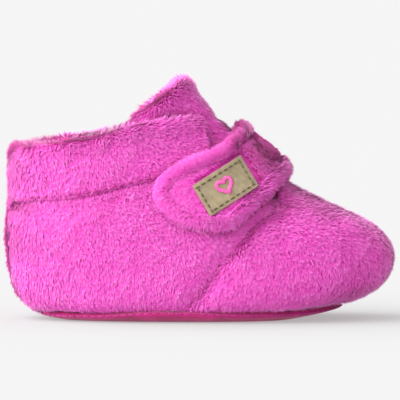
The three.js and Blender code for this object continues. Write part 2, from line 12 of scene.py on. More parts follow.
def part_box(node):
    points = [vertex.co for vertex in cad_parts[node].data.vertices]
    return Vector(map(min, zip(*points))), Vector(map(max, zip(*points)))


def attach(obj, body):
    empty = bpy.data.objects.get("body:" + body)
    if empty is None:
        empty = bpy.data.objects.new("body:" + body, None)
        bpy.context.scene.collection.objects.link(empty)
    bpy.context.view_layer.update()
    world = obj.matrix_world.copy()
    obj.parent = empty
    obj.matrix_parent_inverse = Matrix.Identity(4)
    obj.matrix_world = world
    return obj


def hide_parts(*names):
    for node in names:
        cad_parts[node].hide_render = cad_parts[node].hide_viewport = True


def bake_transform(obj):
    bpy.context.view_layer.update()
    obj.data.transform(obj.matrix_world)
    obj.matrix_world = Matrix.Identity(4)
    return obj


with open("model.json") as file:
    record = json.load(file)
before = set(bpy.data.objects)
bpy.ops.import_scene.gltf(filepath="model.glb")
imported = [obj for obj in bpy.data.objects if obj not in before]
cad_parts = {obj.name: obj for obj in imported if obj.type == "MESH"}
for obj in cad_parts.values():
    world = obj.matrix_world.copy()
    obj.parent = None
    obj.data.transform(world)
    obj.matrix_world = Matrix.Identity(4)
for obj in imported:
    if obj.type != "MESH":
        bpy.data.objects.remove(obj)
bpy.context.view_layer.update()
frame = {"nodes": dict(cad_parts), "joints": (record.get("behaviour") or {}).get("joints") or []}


# ---- Outsole -------------------------------------------------------------------------------------
# A flat panel of crimson napped suede cloth. It is cut to the foot's outline, sewn to the upper inside out
# and turned, so that its edge curls up a little and shows as a thin band under the plush.

MM = 0.001
LENGTH = (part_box("vamp")[1][0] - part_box("quarter_near")[0][0]) / MM
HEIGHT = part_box("tongue_top")[1][2] / MM
MIDDLE = (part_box("vamp")[0][1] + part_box("vamp")[1][1]) / 2 / MM  # the y of the bootie's middle plane
DRAFT_LENGTH, DRAFT_HEIGHT = 130, 80  # the pattern is drafted in side view at this size
BALL_WIDTH, ANKLE_WIDTH, CONTACT_WIDTH = 56, 47, 34
WIDEST, ANKLE = 0.32, 0.8  # how far up the skin the ball and the ankle are, from 0 at the floor to 1


def drafted(x, z):
    return np.array([x * LENGTH / DRAFT_LENGTH, z * HEIGHT / DRAFT_HEIGHT])


def spline(points, steps=24):
    """A smooth curve through the points, as many close points."""
    p = np.array(points, float)
    p = np.vstack([p[0], p, p[-1]])
    t = np.linspace(0, 1, steps, endpoint=False)[:, None]
    spans = []
    for a, b, c, d in zip(p[:-3], p[1:-2], p[2:-1], p[3:]):
        v0, v1 = (c - a) / 2, (d - b) / 2
        spans.append((2 * b - 2 * c + v0 + v1) * t**3 + (-3 * b + 3 * c - 2 * v0 - v1) * t**2 + v0 * t + b)
    return np.vstack(spans + [p[-1:]])


def along_curve(curve, share):
    """The points at those shares of the curve's length."""
    run = np.concatenate([[0], np.cumsum(np.linalg.norm(np.diff(curve, axis=0), axis=1))])
    run = run / run[-1]
    return np.stack([np.interp(share, run, curve[:, k]) for k in range(curve.shape[1])], axis=-1)


heel_line = spline([drafted(*p) for p in (
    (-46, 0), (-56.5, 3.1), (-62.6, 11.5), (-65, 28), (-63.8, 42), (-63.8, 52), (-61.3, 61), (-59, 76),
)])
front_line = spline([drafted(*p) for p in (
    (30, 0), (46.3, 3.8), (60.6, 10.8), (65, 21.5), (59, 30.8), (46, 37.6), (30, 45.6), (18, 56), (7.2, 66.2),
    (-3.2, 79), (-9, 92),
)])


def smooth(x, low, high):
    t = np.clip((x - low) / (high - low), 0, 1)
    return t * t * (3 - 2 * t)


def mix(a, b, share):
    return a + (b - a) * share


def half_width(u):
    low = mix(CONTACT_WIDTH / 2, BALL_WIDTH / 2, np.sqrt(np.clip(1 - (1 - u / WIDEST) ** 2, 0, 1)))
    high = mix(BALL_WIDTH / 2, ANKLE_WIDTH / 2, smooth(u, WIDEST, ANKLE))
    return np.where(u < WIDEST, low, high)


def squareness(u):
    return mix(2.5, 2.12, smooth(u, 0.35, 0.65))


def signed_power(v, power):
    return np.sign(v) * np.abs(v) ** power


def skin(u, t):
    """The point of the skin at height u and turn t: 0 at the toe, +pi at the heel by the near side."""
    u, t = np.asarray(u, float), np.asarray(t, float)
    level = np.clip(u, 0, None)
    heel = along_curve(heel_line, np.minimum(level, 1))
    front = along_curve(front_line, np.minimum(level, 1))
    power = 2 / squareness(level)
    ahead = signed_power(np.cos(t), power)
    flare = mix(0.1, -0.04, smooth(level, 0.35, 0.65))
    across = signed_power(np.sin(t), power) * (1 + flare * ahead)
    middle = (heel + front) / 2
    reach = (front - heel) / 2
    flat = np.where(u < 0, 1 + u, 1)
    x = middle[..., 0] + reach[..., 0] * ahead * flat
    z = middle[..., 1] + reach[..., 1] * ahead * flat
    return np.stack([x, MIDDLE - half_width(level) * across * flat, z], axis=-1)


def unit(v):
    return v / np.maximum(np.linalg.norm(v, axis=-1, keepdims=True), 1e-9)


def outward(u, t):
    u, t = np.asarray(u, float), np.asarray(t, float)
    step = 0.012
    up = skin(np.minimum(u + step, 1), t) - skin(np.maximum(u - step, 0), t)
    normal = unit(np.cross(up, skin(u, t + step) - skin(u, t - step)))
    return np.where((u <= 0)[..., None], np.array([0, 0, -1.0]), normal)


def place(u, t, depth=0.0):
    depth = np.broadcast_to(depth, np.shape(u))
    return skin(u, t) + outward(u, t) * depth[..., None]


def graph(pairs):
    """A smooth function through (x, value) pairs."""
    curve = spline(pairs)
    return lambda x: np.interp(x, curve[:, 0], curve[:, 1])


deg = math.radians
sole_level = graph([
    (0, 0.115), (deg(40), 0.08), (deg(70), 0.078), (deg(97), 0.115), (deg(125), 0.08), (math.pi, 0.075),
])


def rough(points, size, seed):
    """Smooth random numbers from -1 to 1 at the points, with bumps of that size in mm."""
    flat = np.asarray(points).reshape(-1, 3) / size + seed * 7.3
    values = [noise.noise(p) for p in flat.tolist()]
    return np.array(values).reshape(np.shape(points)[:-1]) * 1.6


def grid_faces(rows, columns, start=0, flip=False, wrap=False):
    faces = []
    for j in range(rows - 1):
        for i in range(columns if wrap else columns - 1):
            n = (i + 1) % columns
            quad = [j * columns + i, j * columns + n, (j + 1) * columns + n, (j + 1) * columns + i]
            faces.append([start + k for k in (quad[::-1] if flip else quad)])
    return faces


def mesh_object(name, points, faces, material_of=None):
    """An object from points in mm, shaded smooth."""
    mesh = bpy.data.meshes.new(name)
    mesh.from_pydata((np.asarray(points) * MM).tolist(), [], faces)
    if material_of is not None:
        mesh.polygons.foreach_set("material_index", material_of)
    mesh.validate()
    mesh.shade_smooth()
    piece = bpy.data.objects.new(name, mesh)
    bpy.context.scene.collection.objects.link(piece)
    return piece


def dish(name, rim, rings, sectors, outer, inner, lumps=0.0):
    """The whole underside out to the level rim(t), between two depths."""
    t = np.linspace(-math.pi, math.pi, sectors, endpoint=False)
    points, faces = [], []
    for depth in (outer, inner):
        middle = place(np.array([-1.0]), np.array([0.0]), depth)
        shares = 2 * np.arange(1, rings + 1)[:, None] / rings - 1
        u = np.where(shares > 0, shares * rim(np.abs(t))[None], shares + 0 * t[None])
        body = place(u, np.broadcast_to(t, u.shape), depth)
        if lumps:
            body = body + outward(u, np.broadcast_to(t, u.shape)) * (rough(body, 9, 2) * lumps)[..., None]
        points += [middle, body.reshape(-1, 3)]
    half = 1 + rings * sectors
    for start, flip in ((0, False), (half, True)):
        fan = [[start, start + 1 + i, start + 1 + (i + 1) % sectors] for i in range(sectors)]
        faces += [f[::-1] if flip else f for f in fan]
        faces += grid_faces(rings, sectors, start + 1, flip=not flip, wrap=True)
    edge = 1 + (rings - 1) * sectors
    for i in range(sectors):
        n = (i + 1) % sectors
        faces.append([edge + i, half + edge + i, half + edge + n, edge + n])
    return mesh_object(name, np.vstack(points), faces)


def outwards(piece):
    """Turns the faces of a closed mesh outwards."""
    tool = bmesh.new()
    tool.from_mesh(piece.data)
    bmesh.ops.recalc_face_normals(tool, faces=tool.faces)
    tool.to_mesh(piece.data)
    tool.free()
    return piece


def linear(code):
    """The linear colour of an sRGB hex value."""
    channels = [int(code[k : k + 2], 16) / 255 for k in (1, 3, 5)]
    return [c / 12.92 if c <= 0.04045 else ((c + 0.055) / 1.055) ** 2.4 for c in channels] + [1]


def feed(tree, node, inputs):
    """Gives a node's inputs their values, or the sockets or nodes (first live output) that feed them."""
    for key, value in inputs.items():
        if isinstance(value, bpy.types.Node):
            value = next(socket for socket in value.outputs if socket.enabled)
        if isinstance(value, bpy.types.NodeSocket):
            tree.links.new(value, node.inputs[key])
        else:
            node.inputs[key].default_value = value


def add(tree, kind, inputs=None, stops=(), **settings):
    """A node with its settings and inputs, and the stops of a colour ramp as (position, hex value)."""
    node = tree.nodes.new(kind)
    for key, value in settings.items():
        setattr(node, key, value)
    feed(tree, node, inputs or {})
    if stops:
        elements = node.color_ramp.elements
        while len(elements) < len(stops):
            elements.new(0.5)
        for element, (position, code) in zip(elements, stops):
            element.position, element.color = position, linear(code)
    return node


def finish_of(name, constants):
    """A material with its node tree and its shader, whose constants are set on the shader's own sockets."""
    material = bpy.data.materials.new(name)
    material.use_nodes = True
    tree = material.node_tree
    shader = tree.nodes["Principled BSDF"]
    feed(tree, shader, constants)
    return material, tree, shader


def speckle(tree, grain_mm, detail=2.0):
    """Noise in the object's own space, with grains of about that size."""
    where = add(tree, "ShaderNodeTexCoord").outputs["Object"]
    return add(tree, "ShaderNodeTexNoise", {"Vector": where, "Scale": 1 / (grain_mm * MM), "Detail": detail})


# Microsuede: a brushed knit, matt, with a fine nap that shades in soft patches.
suede, tree, shader = finish_of("brushed polyester microsuede", {"Roughness": 0.88, "Sheen Weight": 0.15})
tone = add(tree, "ShaderNodeValToRGB", {"Fac": speckle(tree, 6)}, ((0.3, "#A00A5C"), (0.7, "#C21476")))
bump = add(tree, "ShaderNodeBump", {"Height": speckle(tree, 0.5), "Strength": 0.4, "Distance": 0.2 * MM})
feed(tree, shader, {"Base Color": tone, "Normal": bump})

OUTSOLE_MM = 1.8
outsole = outwards(dish("outsole_suede", sole_level, 14, 120, 0, -OUTSOLE_MM))
outsole.data.materials.append(suede)
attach(outsole, "upper")
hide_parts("outsole")


# ---- Midsole -------------------------------------------------------------------------------------
# A thin sheet of soft polyurethane foam, cut by the sole's outline. It lies loose between the outsole and the
# insole, and is shut in on all sides.

MIDSOLE_MM = 2.0
MIDSOLE_BED = OUTSOLE_MM + 0.4

# Polyurethane foam: chalky and matt, with open cells that pit its surface.
foam, tree, shader = finish_of("open-cell polyurethane foam", {"Roughness": 0.95})
cells = speckle(tree, 0.7, 3)
tone = add(tree, "ShaderNodeValToRGB", {"Fac": cells}, ((0.35, "#D9D2BE"), (0.65, "#F1ECDD")))
pores = add(tree, "ShaderNodeBump", {"Height": cells, "Strength": 0.7, "Distance": 0.5 * MM})
feed(tree, shader, {"Base Color": tone, "Normal": pores})

midsole = outwards(dish(
    "midsole_pad", lambda t: sole_level(t) + 0.015, 12, 80, -MIDSOLE_BED, -MIDSOLE_BED - MIDSOLE_MM,
))
midsole.data.materials.append(foam)
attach(midsole, "upper")
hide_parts("midsole_foam")


# ---- Vamp ----------------------------------------------------------------------------------------
# The toe panel, sewn to the quarters by two curved seams and gathered to the sole. Like every outer panel, it
# is polyester pile fabric: a knitted ground with a dense brushed pile about 2 mm long, combed down in soft
# swirls. The pile stands on the panel's mesh as flat tapered tufts.

PILE_DEPTH = 1.5  # how far the ground lies under the skin, mm
SHEET_MM = 1.1
THROAT = (26.3, 41.2)
VAMP_SEAM = ((-4, 3.6), (4, 15.2), (11.2, 24.6), (19, 33.6), THROAT)


def seen_at(point):
    """The (u, t) on the near side that is seen at (x, z) in side view."""
    point = np.asarray(point, float)
    low, high = np.zeros(point.shape[:-1]), np.ones(point.shape[:-1])
    for _ in range(26):
        half = (low + high) / 2
        heel, front = along_curve(heel_line, half), along_curve(front_line, half)
        share = (point[..., 0] - heel[..., 0]) / (front[..., 0] - heel[..., 0])
        below = mix(heel[..., 1], front[..., 1], share) < point[..., 1]
        low, high = np.where(below, half, low), np.where(below, high, half)
    turn = np.arccos(signed_power(np.clip(2 * share - 1, -1, 1), squareness(low) / 2))
    return np.stack([low, turn], axis=-1)


def hem(t):
    return sole_level(t) + 0.004


def seam(points, shift_x=0.0, shift_z=0.0, from_hem=False):
    """A seam drawn in side view, as a smooth line of (u, t)."""
    spots = [seen_at(drafted(*p) + [shift_x, shift_z]) for p in points]
    if from_hem:
        spots[0][0] = hem(spots[0][1])
    return spline(spots)


def on(line, share):
    """The (u, t) at that share of a line's points."""
    place_in = np.asarray(share) * (len(line) - 1)
    steps = np.arange(len(line))
    return np.interp(place_in, steps, line[:, 0]), np.interp(place_in, steps, line[:, 1])


def slab(name, outer, inner, faces_of_inner=1):
    """A closed sheet between two grids of points. Its inner side can have another material."""
    rows, columns = outer.shape[:2]
    count = rows * columns
    faces = grid_faces(rows, columns)
    side = len(faces)
    faces += grid_faces(rows, columns, count, flip=True)
    first, last = [[j * columns + i for i in range(columns)] for j in (0, rows - 1)]
    left, right = [[j * columns + i for j in range(rows)] for i in (0, columns - 1)]
    rim = first + right[1:] + last[::-1][1:] + left[::-1][1:-1]
    faces += [[a + count, b + count, b, a] for a, b in zip(rim, rim[1:] + rim[:1])]
    kinds = [0] * side + [faces_of_inner] * side + [0] * len(rim)
    return mesh_object(name, np.vstack([outer.reshape(-1, 3), inner.reshape(-1, 3)]), faces, kinds)


def fall(points, edges, width):
    """1 at the edges, fading to 0 further in, with width in mm."""
    near = np.full(points.shape[:-1], 1e9)
    for edge in edges:
        fine = along_curve(edge, np.linspace(0, 1, 160))
        for chunk in np.array_split(fine, 8):
            gap = np.linalg.norm(points[..., None, :] - chunk, axis=-1).min(-1)
            near = np.minimum(near, gap)
    return np.exp(-((near / width) ** 2))


def comb(points, normals, down, seed, swirl=0.4):
    """The way the pile lies: along down, turned by smooth swirls."""
    angle = swirl * rough(points, 16, seed) + 0.25 * rough(points, 5, seed + 1)
    flat = unit(down - normals * (down * normals).sum(-1, keepdims=True))
    side = np.cross(normals, flat)
    return flat * np.cos(angle)[..., None] + side * np.sin(angle)[..., None]


def downward(u, t):
    """The way down the skin, over a short step."""
    return skin(np.maximum(u - 0.02, 0), t) - skin(u, t)


def store(piece, name, kind, values):
    attribute = piece.data.attributes.new(name, kind, "POINT")
    flat = np.asarray(values, np.float32).ravel()
    attribute.data.foreach_set("vector" if kind == "FLOAT_VECTOR" else "value", flat)


def lay_pile(piece, nap, pile, lift, back_pile=0.0):
    """Stores a slab's pile: the way it lies, how much grows (on the back too), and how far it stands up."""
    back = back_pile + np.zeros(pile.size)
    store(piece, "nap", "FLOAT_VECTOR", np.concatenate([nap.reshape(-1, 3)] * 2))
    store(piece, "pile", "FLOAT", np.concatenate([pile.ravel(), back]))
    store(piece, "lift", "FLOAT", np.concatenate([lift.ravel()] * 2))


def plush_sheet(name, u, t, edges, seed, pile=1.0, dip=1.5):
    """A plush panel from grids of (u, t): its ground dips at the sewn edges and swells between them."""
    start = place(u, t)
    sunk = fall(start, edges, 3.2)
    depth = 0.3 * rough(start, 11, 4) * (1 - sunk) - PILE_DEPTH - dip * sunk
    outer = place(u, t, depth)
    piece = slab(name, outer, place(u, t, depth - SHEET_MM))
    nap = comb(outer, outward(u, t), downward(u, t), seed)
    lay_pile(piece, nap, pile * np.ones(u.shape), 0.12 * sunk)
    return outwards(piece)


# One tuft: a bent lozenge that rises from its root and then lies along +Y, a unit long and a unit wide.
tuft_mesh = bpy.data.meshes.new("tuft")
tuft_points = [(0, 0, 0), (-0.5, 0.5, 0.2), (0.5, 0.5, 0.2), (0, 1, 0.26)]
tuft_mesh.from_pydata(tuft_points, [], [(0, 2, 1), (1, 2, 3)])
tuft_mesh.attributes.new("along", "FLOAT", "POINT").data.foreach_set("value", [0, 0.5, 0.5, 1])
tuft_mesh.attributes.new("aside", "FLOAT", "POINT").data.foreach_set("value", [0, -1, 1, 0])
tuft_mesh.shade_smooth()
tuft = bpy.data.objects.new("tuft", tuft_mesh)


def weighed(tree, start, *terms):
    """The start plus each source, whose 0 to 1 becomes low to high and is multiplied by its weight."""
    for source, low, high, weight in terms:
        moved = add(tree, "ShaderNodeMapRange", {"Value": source, "To Min": low, "To Max": high})
        start = add(tree, "ShaderNodeMath", {0: moved, 1: weight, 2: start}, operation="MULTIPLY_ADD")
    return start


def group_of(name, inputs):
    """A Geometry Nodes group with named inputs and one Geometry output, and its input sockets."""
    tree = bpy.data.node_groups.new(name, "GeometryNodeTree")
    for key, kind in inputs.items():
        tree.interface.new_socket(key, in_out="INPUT", socket_type=f"NodeSocket{kind}")
    tree.interface.new_socket("Result", in_out="OUTPUT", socket_type="NodeSocketGeometry")
    return tree, tree.nodes.new("NodeGroupInput").outputs


# The pile: tufts lean along "nap". Smooth noise a millimetre across lifts, turns and shades them together,
# which gives the rippled look of combed plush, with the lifted tufts painted paler as painted light. Wider
# noise varies their length and shade.
RIPPLE_MM, DRIFT_MM = 1.0, 6
pile, given = group_of("plush_pile", {
    "Cloth": "Geometry", "Tuft": "Object", "Density": "Float", "Length": "Float", "Width": "Float",
    "Lean": "Float", "Ripple": "Float", "Seed": "Int", "Material": "Material",
})
mask, lift, along, aside, own = [
    add(pile, "GeometryNodeInputNamedAttribute", {"Name": key}, data_type="FLOAT")
    for key in ("pile", "lift", "along", "aside", "shade")
]
nap, ground = [
    add(pile, "GeometryNodeInputNamedAttribute", {"Name": key}, data_type="FLOAT_VECTOR")
    for key in ("nap", "ground")
]
spots = add(pile, "GeometryNodeDistributePointsOnFaces", {
    "Mesh": given["Cloth"], "Seed": given["Seed"],
    "Density": add(pile, "ShaderNodeMath", {0: mask, 1: given["Density"]}, operation="MULTIPLY"),
})
where = add(pile, "GeometryNodeInputPosition")
clump, drift = [add(pile, "ShaderNodeMapRange", {
    "Value": add(pile, "ShaderNodeTexNoise", {"Vector": where, "Scale": 1 / (size_mm * MM), "Detail": 1.0}),
    "From Min": 0.3, "From Max": 0.7,
}) for size_mm in (RIPPLE_MM, DRIFT_MM)]
first, second = [add(pile, "FunctionNodeRandomValue", {"Seed": seed}, data_type="FLOAT") for seed in (5, 77)]

# Each tuft stands square to the cloth with its +Y along the nap, and is then turned and raised, in radians.
stand = add(pile, "FunctionNodeAlignRotationToVector", {"Vector": spots.outputs["Normal"]}, axis="Z")
lie = add(pile, "FunctionNodeAlignRotationToVector", {
    "Rotation": stand, "Vector": nap,
}, axis="Y", pivot_axis="Z")
turn = weighed(pile, 0.0, (clump, -0.2, 0.2, 1.0), (first, -0.22, 0.22, 1.0), (second, -0.7, 0.7, lift))
leant = add(pile, "ShaderNodeMath", {0: lift, 1: given["Lean"]}, operation="ADD")
rise = weighed(
    pile, leant, (second, -0.12, 0.16, 1.0), (clump, -0.28, 0.28, given["Ripple"]), (first, -0.7, 0.5, lift),
)
own_turn = add(pile, "FunctionNodeEulerToRotation", {
    0: add(pile, "ShaderNodeCombineXYZ", {"X": rise, "Z": turn}),
})
turned = add(pile, "FunctionNodeRotateRotation", {0: lie, 1: own_turn}, rotation_space="LOCAL")
long = given["Length"]
for factor in (weighed(pile, 0.0, (second, 0.75, 1.1, 1.0)), weighed(pile, lift, (drift, 0.85, 1.1, 1.0))):
    long = add(pile, "ShaderNodeMath", {0: long, 1: factor}, operation="MULTIPLY")
wide = weighed(pile, 0.0, (first, 0.7, 1.3, given["Width"]))
tufts = add(pile, "GeometryNodeInstanceOnPoints", {
    "Points": spots, "Rotation": turned,
    "Scale": add(pile, "ShaderNodeCombineXYZ", {"X": wide, "Y": long, "Z": long}),
    "Instance": add(pile, "GeometryNodeObjectInfo", {"Object": given["Tuft"]}).outputs["Geometry"],
})
# Each tuft's shade is part random tone and part painted light, paler where the ripples lift it. The wider
# noise makes the longer tufts paler too.
shade = weighed(pile, 0.0, (first, 0, 0.4, 1.0), (clump, 0, 0.4, 1.0), (drift, 0, 0.2, 1.0))
marked = add(pile, "GeometryNodeStoreNamedAttribute", {
    "Geometry": tufts, "Name": "shade", "Value": shade,
}, data_type="FLOAT", domain="INSTANCE")
marked = add(pile, "GeometryNodeStoreNamedAttribute", {
    "Geometry": marked, "Name": "ground", "Value": spots.outputs["Normal"],
}, data_type="FLOAT_VECTOR", domain="INSTANCE")
real = add(pile, "GeometryNodeRealizeInstances", {0: marked})

# Tufts are too coarse to scatter light as fibres do, so each is lit mostly as the cloth that it stands on.
own_normal = add(pile, "GeometryNodeInputNormal")
soft = add(pile, "ShaderNodeMix", {"Factor": 0.75, 4: own_normal, 5: ground}, data_type="VECTOR")
real = add(pile, "GeometryNodeSetMeshNormal", {"Mesh": real, "Custom Normal": soft}, mode="TANGENT_SPACE")

# "OFBake" lays each tuft out by the two numbers that its colour reads.
along, own = [
    add(pile, "ShaderNodeMapRange", {"Value": value, "To Min": 0.02, "To Max": 0.98})
    for value in (along, own)
]
own = add(pile, "ShaderNodeMath", {0: aside, 1: 0.003, 2: own}, operation="MULTIPLY_ADD")
laid = add(pile, "GeometryNodeStoreNamedAttribute", {
    "Geometry": real, "Name": "OFBake", "Value": add(pile, "ShaderNodeCombineXYZ", {"X": along, "Y": own}),
}, data_type="FLOAT2", domain="CORNER")
coloured = add(pile, "GeometryNodeSetMaterial", {"Geometry": laid, "Material": given["Material"]})
add(pile, "NodeGroupOutput", {"Result": coloured})


def grown_from(source, tree, name, values):
    """What the tree makes of the source, as a plain mesh object of its own."""
    modifier = source.modifiers.new(name, "NODES")
    modifier.node_group = tree
    for item in tree.interface.items_tree:
        if item.name in values:
            modifier[item.identifier] = values[item.name]
    bpy.context.view_layer.update()
    shape = bpy.data.meshes.new_from_object(source.evaluated_get(bpy.context.evaluated_depsgraph_get()))
    source.modifiers.remove(modifier)
    piece = bpy.data.objects.new(name, shape)
    bpy.context.scene.collection.objects.link(piece)
    return piece


# Brushed polyester pile: matt and soft, with a pale bloom where it is seen edge on. Its colour is painted
# deep pink at the roots, as painted shade down in the pile, and paler at the tips, as a painted highlight.
# Each tuft has its own shade, part random tone and part painted light that makes the lifted ripples paler.
plush, tree, shader = finish_of("brushed polyester plush", {
    "Roughness": 0.7, "Sheen Weight": 1.0, "Sheen Roughness": 0.45, "Sheen Tint": linear("#FFC6EE"),
})
share = add(tree, "ShaderNodeAttribute", attribute_name="along").outputs["Fac"]
own = add(tree, "ShaderNodeAttribute", attribute_name="shade").outputs["Fac"]
own = add(tree, "ShaderNodeMath", {0: own, 1: 0.45}, operation="MULTIPLY")
tone = add(tree, "ShaderNodeMath", {0: share, 1: 0.55, 2: own}, operation="MULTIPLY_ADD")
# The ramp runs from painted shade at the roots, through the pile's own pink, to a painted highlight at the
# tips.
tone = add(tree, "ShaderNodeValToRGB", {"Fac": tone}, (
    (0.05, "#CC1C9A"), (0.4, "#E233B6"), (0.72, "#EE5ACA"), (1.0, "#FAA0E6"),
))
feed(tree, shader, {"Base Color": tone})

# The ground is a knit that shows only between the tufts. It is coloured deeper than the pile, as painted
# shade between the tufts.
ground_cloth, tree, shader = finish_of("knitted pile ground", {"Roughness": 0.95, "Sheen Weight": 0.2})
tone = add(tree, "ShaderNodeValToRGB", {"Fac": speckle(tree, 1.2)}, ((0.3, "#B81C88"), (0.7, "#D038A6")))
rib = add(tree, "ShaderNodeBump", {"Height": speckle(tree, 0.4), "Strength": 0.5, "Distance": 0.3 * MM})
feed(tree, shader, {"Base Color": tone, "Normal": rib})

# Fleece: a low brushed knit on the wrong side of every panel and inside the bootie, woolly and dull.
fleece, tree, shader = finish_of("brushed polyester fleece", {"Roughness": 0.95, "Sheen Weight": 0.4})
tone = add(tree, "ShaderNodeValToRGB", {"Fac": speckle(tree, 0.9, 3)}, ((0.3, "#C0309A"), (0.7, "#E664C4")))
rib = add(tree, "ShaderNodeBump", {"Height": speckle(tree, 0.5, 3), "Strength": 0.8, "Distance": 0.5 * MM})
feed(tree, shader, {"Base Color": tone, "Normal": rib})

# A tuft's sizes in mm and its lean in radians. A real one is 0.1 mm wide, and it is drawn coarser to show.
TUFT_LENGTH, TUFT_WIDTH, TUFT_LEAN, TUFT_RIPPLE = 2.1, 0.4, 0.24, 0.75
DENSITY = 18.0  # tufts in a square millimetre


def finish_plush(cloth, body, seed, stands_for, blend=None, density=1.0):
    """Gives a plush piece its ground, its wrong side and its pile, and puts both on their body, or, given a
    blend, only bakes their transforms.
    """
    cloth.data.materials.append(ground_cloth)
    cloth.data.materials.append(fleece)
    coat = grown_from(cloth, pile, cloth.name.replace("_cloth", "_pile"), {
        "Tuft": tuft, "Density": DENSITY * density / MM**2, "Length": TUFT_LENGTH * MM,
        "Width": TUFT_WIDTH * MM, "Lean": TUFT_LEAN, "Ripple": TUFT_RIPPLE, "Seed": seed, "Material": plush,
    })
    for piece in (cloth, coat):
        if blend:
            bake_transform(piece)
        else:
            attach(piece, body)
    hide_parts(*stands_for)


vamp_side = seam(VAMP_SEAM, 0.4, 0, from_hem=True)
vamp_top = seen_at(drafted(26, 49.4))


def vamp_grid(across, up):
    share = np.abs(1 - 2 * across)
    side_u, side_t = on(vamp_side, up)
    foot_u, foot_t = on(vamp_side, 0.0)
    ridge = mix(hem(0), vamp_top[0], up)
    swept = mix(ridge, side_u, share**2)
    drop = hem(foot_t * share) - mix(hem(0), foot_u, share**2)
    return swept + drop * (1 - up), side_t * (1 - 2 * across)


def grid(across, up):
    return np.meshgrid(np.linspace(0, 1, across), np.linspace(0, 1, up))


u, t = vamp_grid(*grid(71, 45))
spots = place(u, t)
vamp = plush_sheet("vamp_cloth", u, t, [spots[:, 0], spots[:, -1], spots[0]], seed=4)
finish_plush(vamp, "upper", 4, ["vamp"], density=0.93)


# ---- Quarters ------------------------------------------------------------------------------------
# Two side panels of plush, joined behind the heel. They are sewn to the vamp, the sole and the collar. The
# loop pad is sewn to the near one, where no pile grows.

FACING = (THROAT, (14, 46.6), (2, 53))
COLLAR_SEAM = ((-64, 40.3), (-42, 41.9), (-21, 46.6), (2, 53))
NOSE = 0.72  # the share of the front edge that runs along the vamp
LABEL_TILT = deg(31.5)  # of the tab's pads and of the label
LOOP_SIZE, TAB_MIDDLE = (18, 14), drafted(1.5, 41.6)
quarter_nose = seam(VAMP_SEAM, -0.4, 0, from_hem=True)
quarter_facing = seam(FACING)
quarter_top = seam(COLLAR_SEAM)


def level_on(line, t):
    """The u of a seam where it passes t; t falls along the seam."""
    return np.interp(-np.asarray(t), -line[:, 1], line[:, 0])


def quarter_front(b):
    nose = on(quarter_nose, np.clip(b / NOSE, 0, 1))
    facing = on(quarter_facing, np.clip((b - NOSE) / (1 - NOSE), 0, 1))
    return [np.where(b < NOSE, p, q) for p, q in zip(nose, facing)]


def quarter_grid(a, b, heel=math.pi - 0.004):
    """The (u, t) of a near quarter, from the heel at a = 0 to the front at 1, and from the sole up with b."""
    foot, crown = hem(heel), level_on(quarter_top, heel)
    front_u, front_t = quarter_front(b)
    u = mix(mix(foot, crown, b), front_u, a)
    t = mix(heel, front_t, a)
    (low_u, low_t), (high_u, high_t) = quarter_front(np.array(0.0)), quarter_front(np.array(1.0))
    u = u + (hem(mix(heel, low_t, a)) - mix(foot, low_u, a)) * (1 - b) ** 2
    return u + (level_on(quarter_top, mix(heel, high_t, a)) - mix(crown, high_u, a)) * b**4, t


def bare_under(points, middle, size):
    """0 where a tilted rectangle on the near side, size in mm, covers the points, else 1."""
    x, z = points[..., 0] - middle[0], points[..., 2] - middle[1]
    along = x * math.cos(LABEL_TILT) + z * math.sin(LABEL_TILT)
    across = z * math.cos(LABEL_TILT) - x * math.sin(LABEL_TILT)
    inside = (np.abs(along) < size[0] / 2 + 0.1) & (np.abs(across) < size[1] / 2 + 0.1)
    return np.where(inside & (points[..., 1] < MIDDLE - 5), 0.0, 1.0)


for name, side, seed in (("near", 1, 11), ("far", -1, 12)):
    a, b = grid(91, 61)
    u, t = quarter_grid(a, b)
    dip = 1.5 * smooth(a, 0, 0.06)  # the pile hides the back seam
    if side < 0:
        u, t, dip = u[:, ::-1], -t[:, ::-1], dip[:, ::-1]
    spots = place(u, t)
    edges = [spots[0], spots[-1], spots[:, 0], spots[:, -1]]
    grown = bare_under(spots, TAB_MIDDLE, LOOP_SIZE)
    quarter = plush_sheet(f"quarter_{name}_cloth", u, t, edges, seed, grown, dip)
    finish_plush(quarter, "upper", seed, [f"quarter_{name}"], density=1.2)


# ---- Lining and insole ---------------------------------------------------------------------------
# The lining is fleece, cut like the outer panels and sewn in at the collar. The insole is a loose sock lining
# of the same fleece, cut by the sole's outline.

LINING_DEPTH, LINING_MM = -3.2, 1.2
INSOLE_BED, INSOLE_MM = -4.8, 1.4
quarter_u, quarter_t = quarter_grid(*grid(31, 19), heel=math.pi)
for name, node, (u, t) in (
    ("vamp_fleece", "vamp_lining", vamp_grid(*grid(41, 25))),
    ("quarter_near_fleece", "quarter_lining_near", (quarter_u, quarter_t)),
    ("quarter_far_fleece", "quarter_lining_far", (quarter_u[:, ::-1], -quarter_t[:, ::-1])),
):
    depth = LINING_DEPTH + 0.3 * rough(place(u, t), 8, 5)
    sheet = outwards(slab(name, place(u, t, depth), place(u, t, depth - LINING_MM), 0))
    sheet.data.materials.append(fleece)
    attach(sheet, "upper")
    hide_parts(node)

insole = outwards(dish(
    "insole_fleece", lambda t: sole_level(t) + 0.03, 12, 80, INSOLE_BED, INSOLE_BED - INSOLE_MM, lumps=0.2,
))
insole.data.materials.append(fleece)
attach(insole, "upper")
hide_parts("insole")


# ---- Collar --------------------------------------------------------------------------------------
# A plush band folded over at the rim, stuffed with its own seam allowance, and sewn to the top edge of the
# quarters. Its two ends stop at the tongue.

